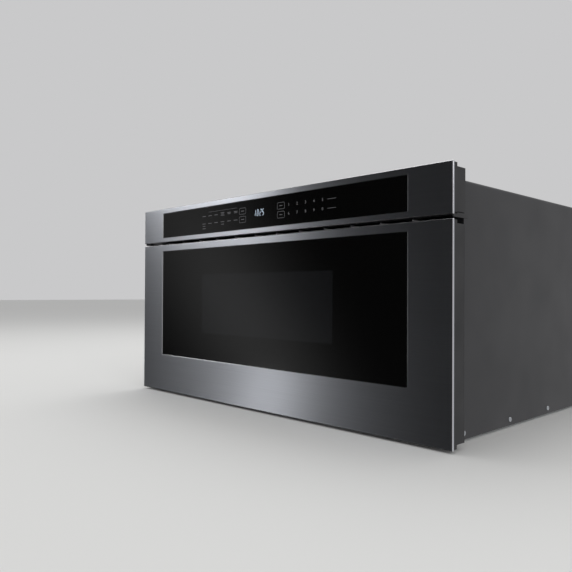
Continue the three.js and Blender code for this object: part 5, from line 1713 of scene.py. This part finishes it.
@dataclass
class Studio:
    """The camera, a pale floor, an even pale room and four soft lamps.

    Mirrors see a dark flag at the front left of the room with two patches of soft light on it, which
    give the brushed steel its long bright streak and keep the glass dark.

    Attributes:
        place: the camera's place in the row frame.
        yaw: its turn to the left of +Y, in degrees.
        pitch: its tilt upwards, in degrees.
        roll: its roll, in degrees.
        lens: its focal length in millimetres on a 36 mm sensor.
        room: the room's even grey.
        flag: azimuths, in degrees, between which the flag fades in, and between which it fades out.
        flag_lean: degrees by which its far side reaches out for each degree below the horizon.
        flag_top: elevations, in degrees, between which it ends at its top.
        flag_level: brightness of the flag.
        glows: the patches of soft light on the flag.
        lamps: a large one overhead, one at the right, and two small ones at the front left.
    """

    place: Sequence[float] = (0.8035, -1.0501, 0.2103)
    yaw: float = 45.962
    pitch: float = 0.606
    roll: float = 0.289
    lens: float = 38.655
    room: str = "#c9c9ca"
    flag: tuple[Range, Range] = ((14.0, 22.0), (68.0, 78.0))
    flag_lean: float = 1.6
    flag_top: Range = (60.0, 75.0)
    flag_level: float = 0.009
    glows: Sequence[Glow] = (
        Glow(48.1, -12.0, 1.5, 1.8, 0.0, 6.0),
        Glow(48.85, -4.4, 4.0, 12.0, 0.47, 0.4),
    )
    lamps: Sequence[Lamp] = (
        Lamp("top_lamp", (-0.6, 0.5, 2.6), (0, 0, 0.1), (2.2, 2.2), 34),
        Lamp("side_lamp", (2.6, -1.2, 1.4), (0.2, -0.2, 0.2), (1.2, 1.2), 14),
        Lamp("left_lamp", (-2.422, -1.807, 1.185), (0, -0.3, 0.2), (0.6, 0.4), 3.7),
        Lamp("streak_lamp", (-2.14, -2.12, 1.0), (0, -0.3, 0.2), (0.3, 0.2), 1.0),
    )

    def build(self) -> None:
        """Sets up everything that isn't part of the object."""
        self.add_camera()
        self.add_floor()
        self.add_room()
        self.add_lamps()

    def add_camera(self) -> None:
        """Stands the camera where the photograph was taken from."""
        data = bpy.data.cameras.new("camera")
        data.lens, data.sensor_width = self.lens, 36
        data.clip_start, data.clip_end = 0.01, 60
        camera = stand("camera", data)
        yaw, pitch = math.radians(self.yaw), math.radians(self.pitch)
        ahead = Vector((-math.sin(yaw) * math.cos(pitch), math.cos(yaw) * math.cos(pitch), math.sin(pitch)))
        camera.location = self.place
        camera.rotation_mode = "QUATERNION"
        roll = Quaternion((0, 0, 1), math.radians(self.roll))
        camera.rotation_quaternion = ahead.to_track_quat("-Z", "Y") @ roll
        bpy.context.scene.camera = camera

    def add_floor(self) -> None:
        """Lays a plain pale floor under the feet; mirrors see the room in its place."""
        mesh = bmesh.new()
        bmesh.ops.create_grid(mesh, x_segments=1, y_segments=1, size=14)
        data = bpy.data.meshes.new("floor")
        mesh.to_mesh(data)
        mesh.free()
        data.materials.append(FLOOR.material())
        floor = stand("floor", data)
        floor.visible_glossy = False

    def add_room(self) -> None:
        """Lights the room evenly, and stands the flag and its soft light in it for mirrors."""
        world = bpy.data.worlds.new("studio")
        world.use_nodes = True
        tree = world.node_tree
        tree.nodes.clear()
        ray = add(tree, "ShaderNodeTexCoord", output="Generated")
        flat = add(tree, "ShaderNodeVectorMath", {0: ray, 1: (-1, -1, 0)}, operation="MULTIPLY")
        left, back, _ = add(tree, "ShaderNodeSeparateXYZ", {0: flat}).node.outputs
        up = add(tree, "ShaderNodeSeparateXYZ", {0: ray}, "Z")
        turn = add(tree, "ShaderNodeMath", {0: left, 1: back}, operation="ARCTAN2")
        azimuth = add(tree, "ShaderNodeMath", {0: turn}, operation="DEGREES")
        tilt = add(tree, "ShaderNodeMath", {0: up}, operation="ARCSINE")
        elevation = add(tree, "ShaderNodeMath", {0: tilt}, operation="DEGREES")
        level = self.flag_level
        for glow in self.glows:
            shine = glow.build(tree, azimuth, elevation)
            level = add(tree, "ShaderNodeMath", {0: shine, 1: level}, operation="ADD")
        flag = add(tree, "ShaderNodeLightPath", output="Is Glossy Ray")
        below = add(tree, "ShaderNodeMath", {0: elevation, 1: 0.0}, operation="MINIMUM")
        leaning = {0: below, 1: self.flag_lean, 2: azimuth}
        far_side = add(tree, "ShaderNodeMath", leaning, operation="MULTIPLY_ADD")
        for angle, (first, last), ends in (
            (azimuth, self.flag[0], (0.0, 1.0)),
            (far_side, self.flag[1], (1.0, 0.0)),
            (elevation, self.flag_top, (1.0, 0.0)),
        ):
            fade = add(tree, "ShaderNodeMapRange", {0: angle, 1: first, 2: last, 3: ends[0], 4: ends[1]})
            flag = add(tree, "ShaderNodeMath", {0: flag, 1: fade}, operation="MULTIPLY")
        room = {0: flag, 6: linear(self.room), 7: level}
        seen = add(tree, "ShaderNodeMix", room, 2, data_type="RGBA")
        background = add(tree, "ShaderNodeBackground", {0: seen, 1: 1.0})
        add(tree, "ShaderNodeOutputWorld", {0: background})
        bpy.context.scene.world = world
        bpy.context.scene.view_settings.view_transform = "Standard"

    def add_lamps(self) -> None:
        """Hangs every lamp."""
        for lamp in self.lamps:
            lamp.build()


def main() -> None:
    """Sets up the studio, and builds the object from its front to its casing."""
    logging.basicConfig(level=logging.INFO, format="%(message)s")
    window_x, window_y, window_z = spans("window_screen")
    screen_border = 20 * MM
    middle = (0.0, window_y[0], sum(window_z) / 2)
    half = (window_x[1] - screen_border, 1.0, (window_z[1] - window_z[0]) / 2 - screen_border)
    window_glass = PrintedGlass("black_printed_window_glass", "#060606", 0.03, centre=middle, half=half)
    Studio().build()
    FacePan("drawer_face", "drawer_skin", "drawer_glass", "drawer").build()
    FacePan("control_face", "control_frame", "control_glass", "chassis").build()
    GlassPane("window_pane", "drawer_glass", "drawer", window_glass).build()
    GlassPane("touch_pane", "control_glass", "chassis", PANEL_GLASS).build()
    ControlPanel().build()
    VentStrip().build()
    DrawerBin().build()
    Chassis().build()
    CadFinishes().build()


if __name__ == "__main__":
    main()
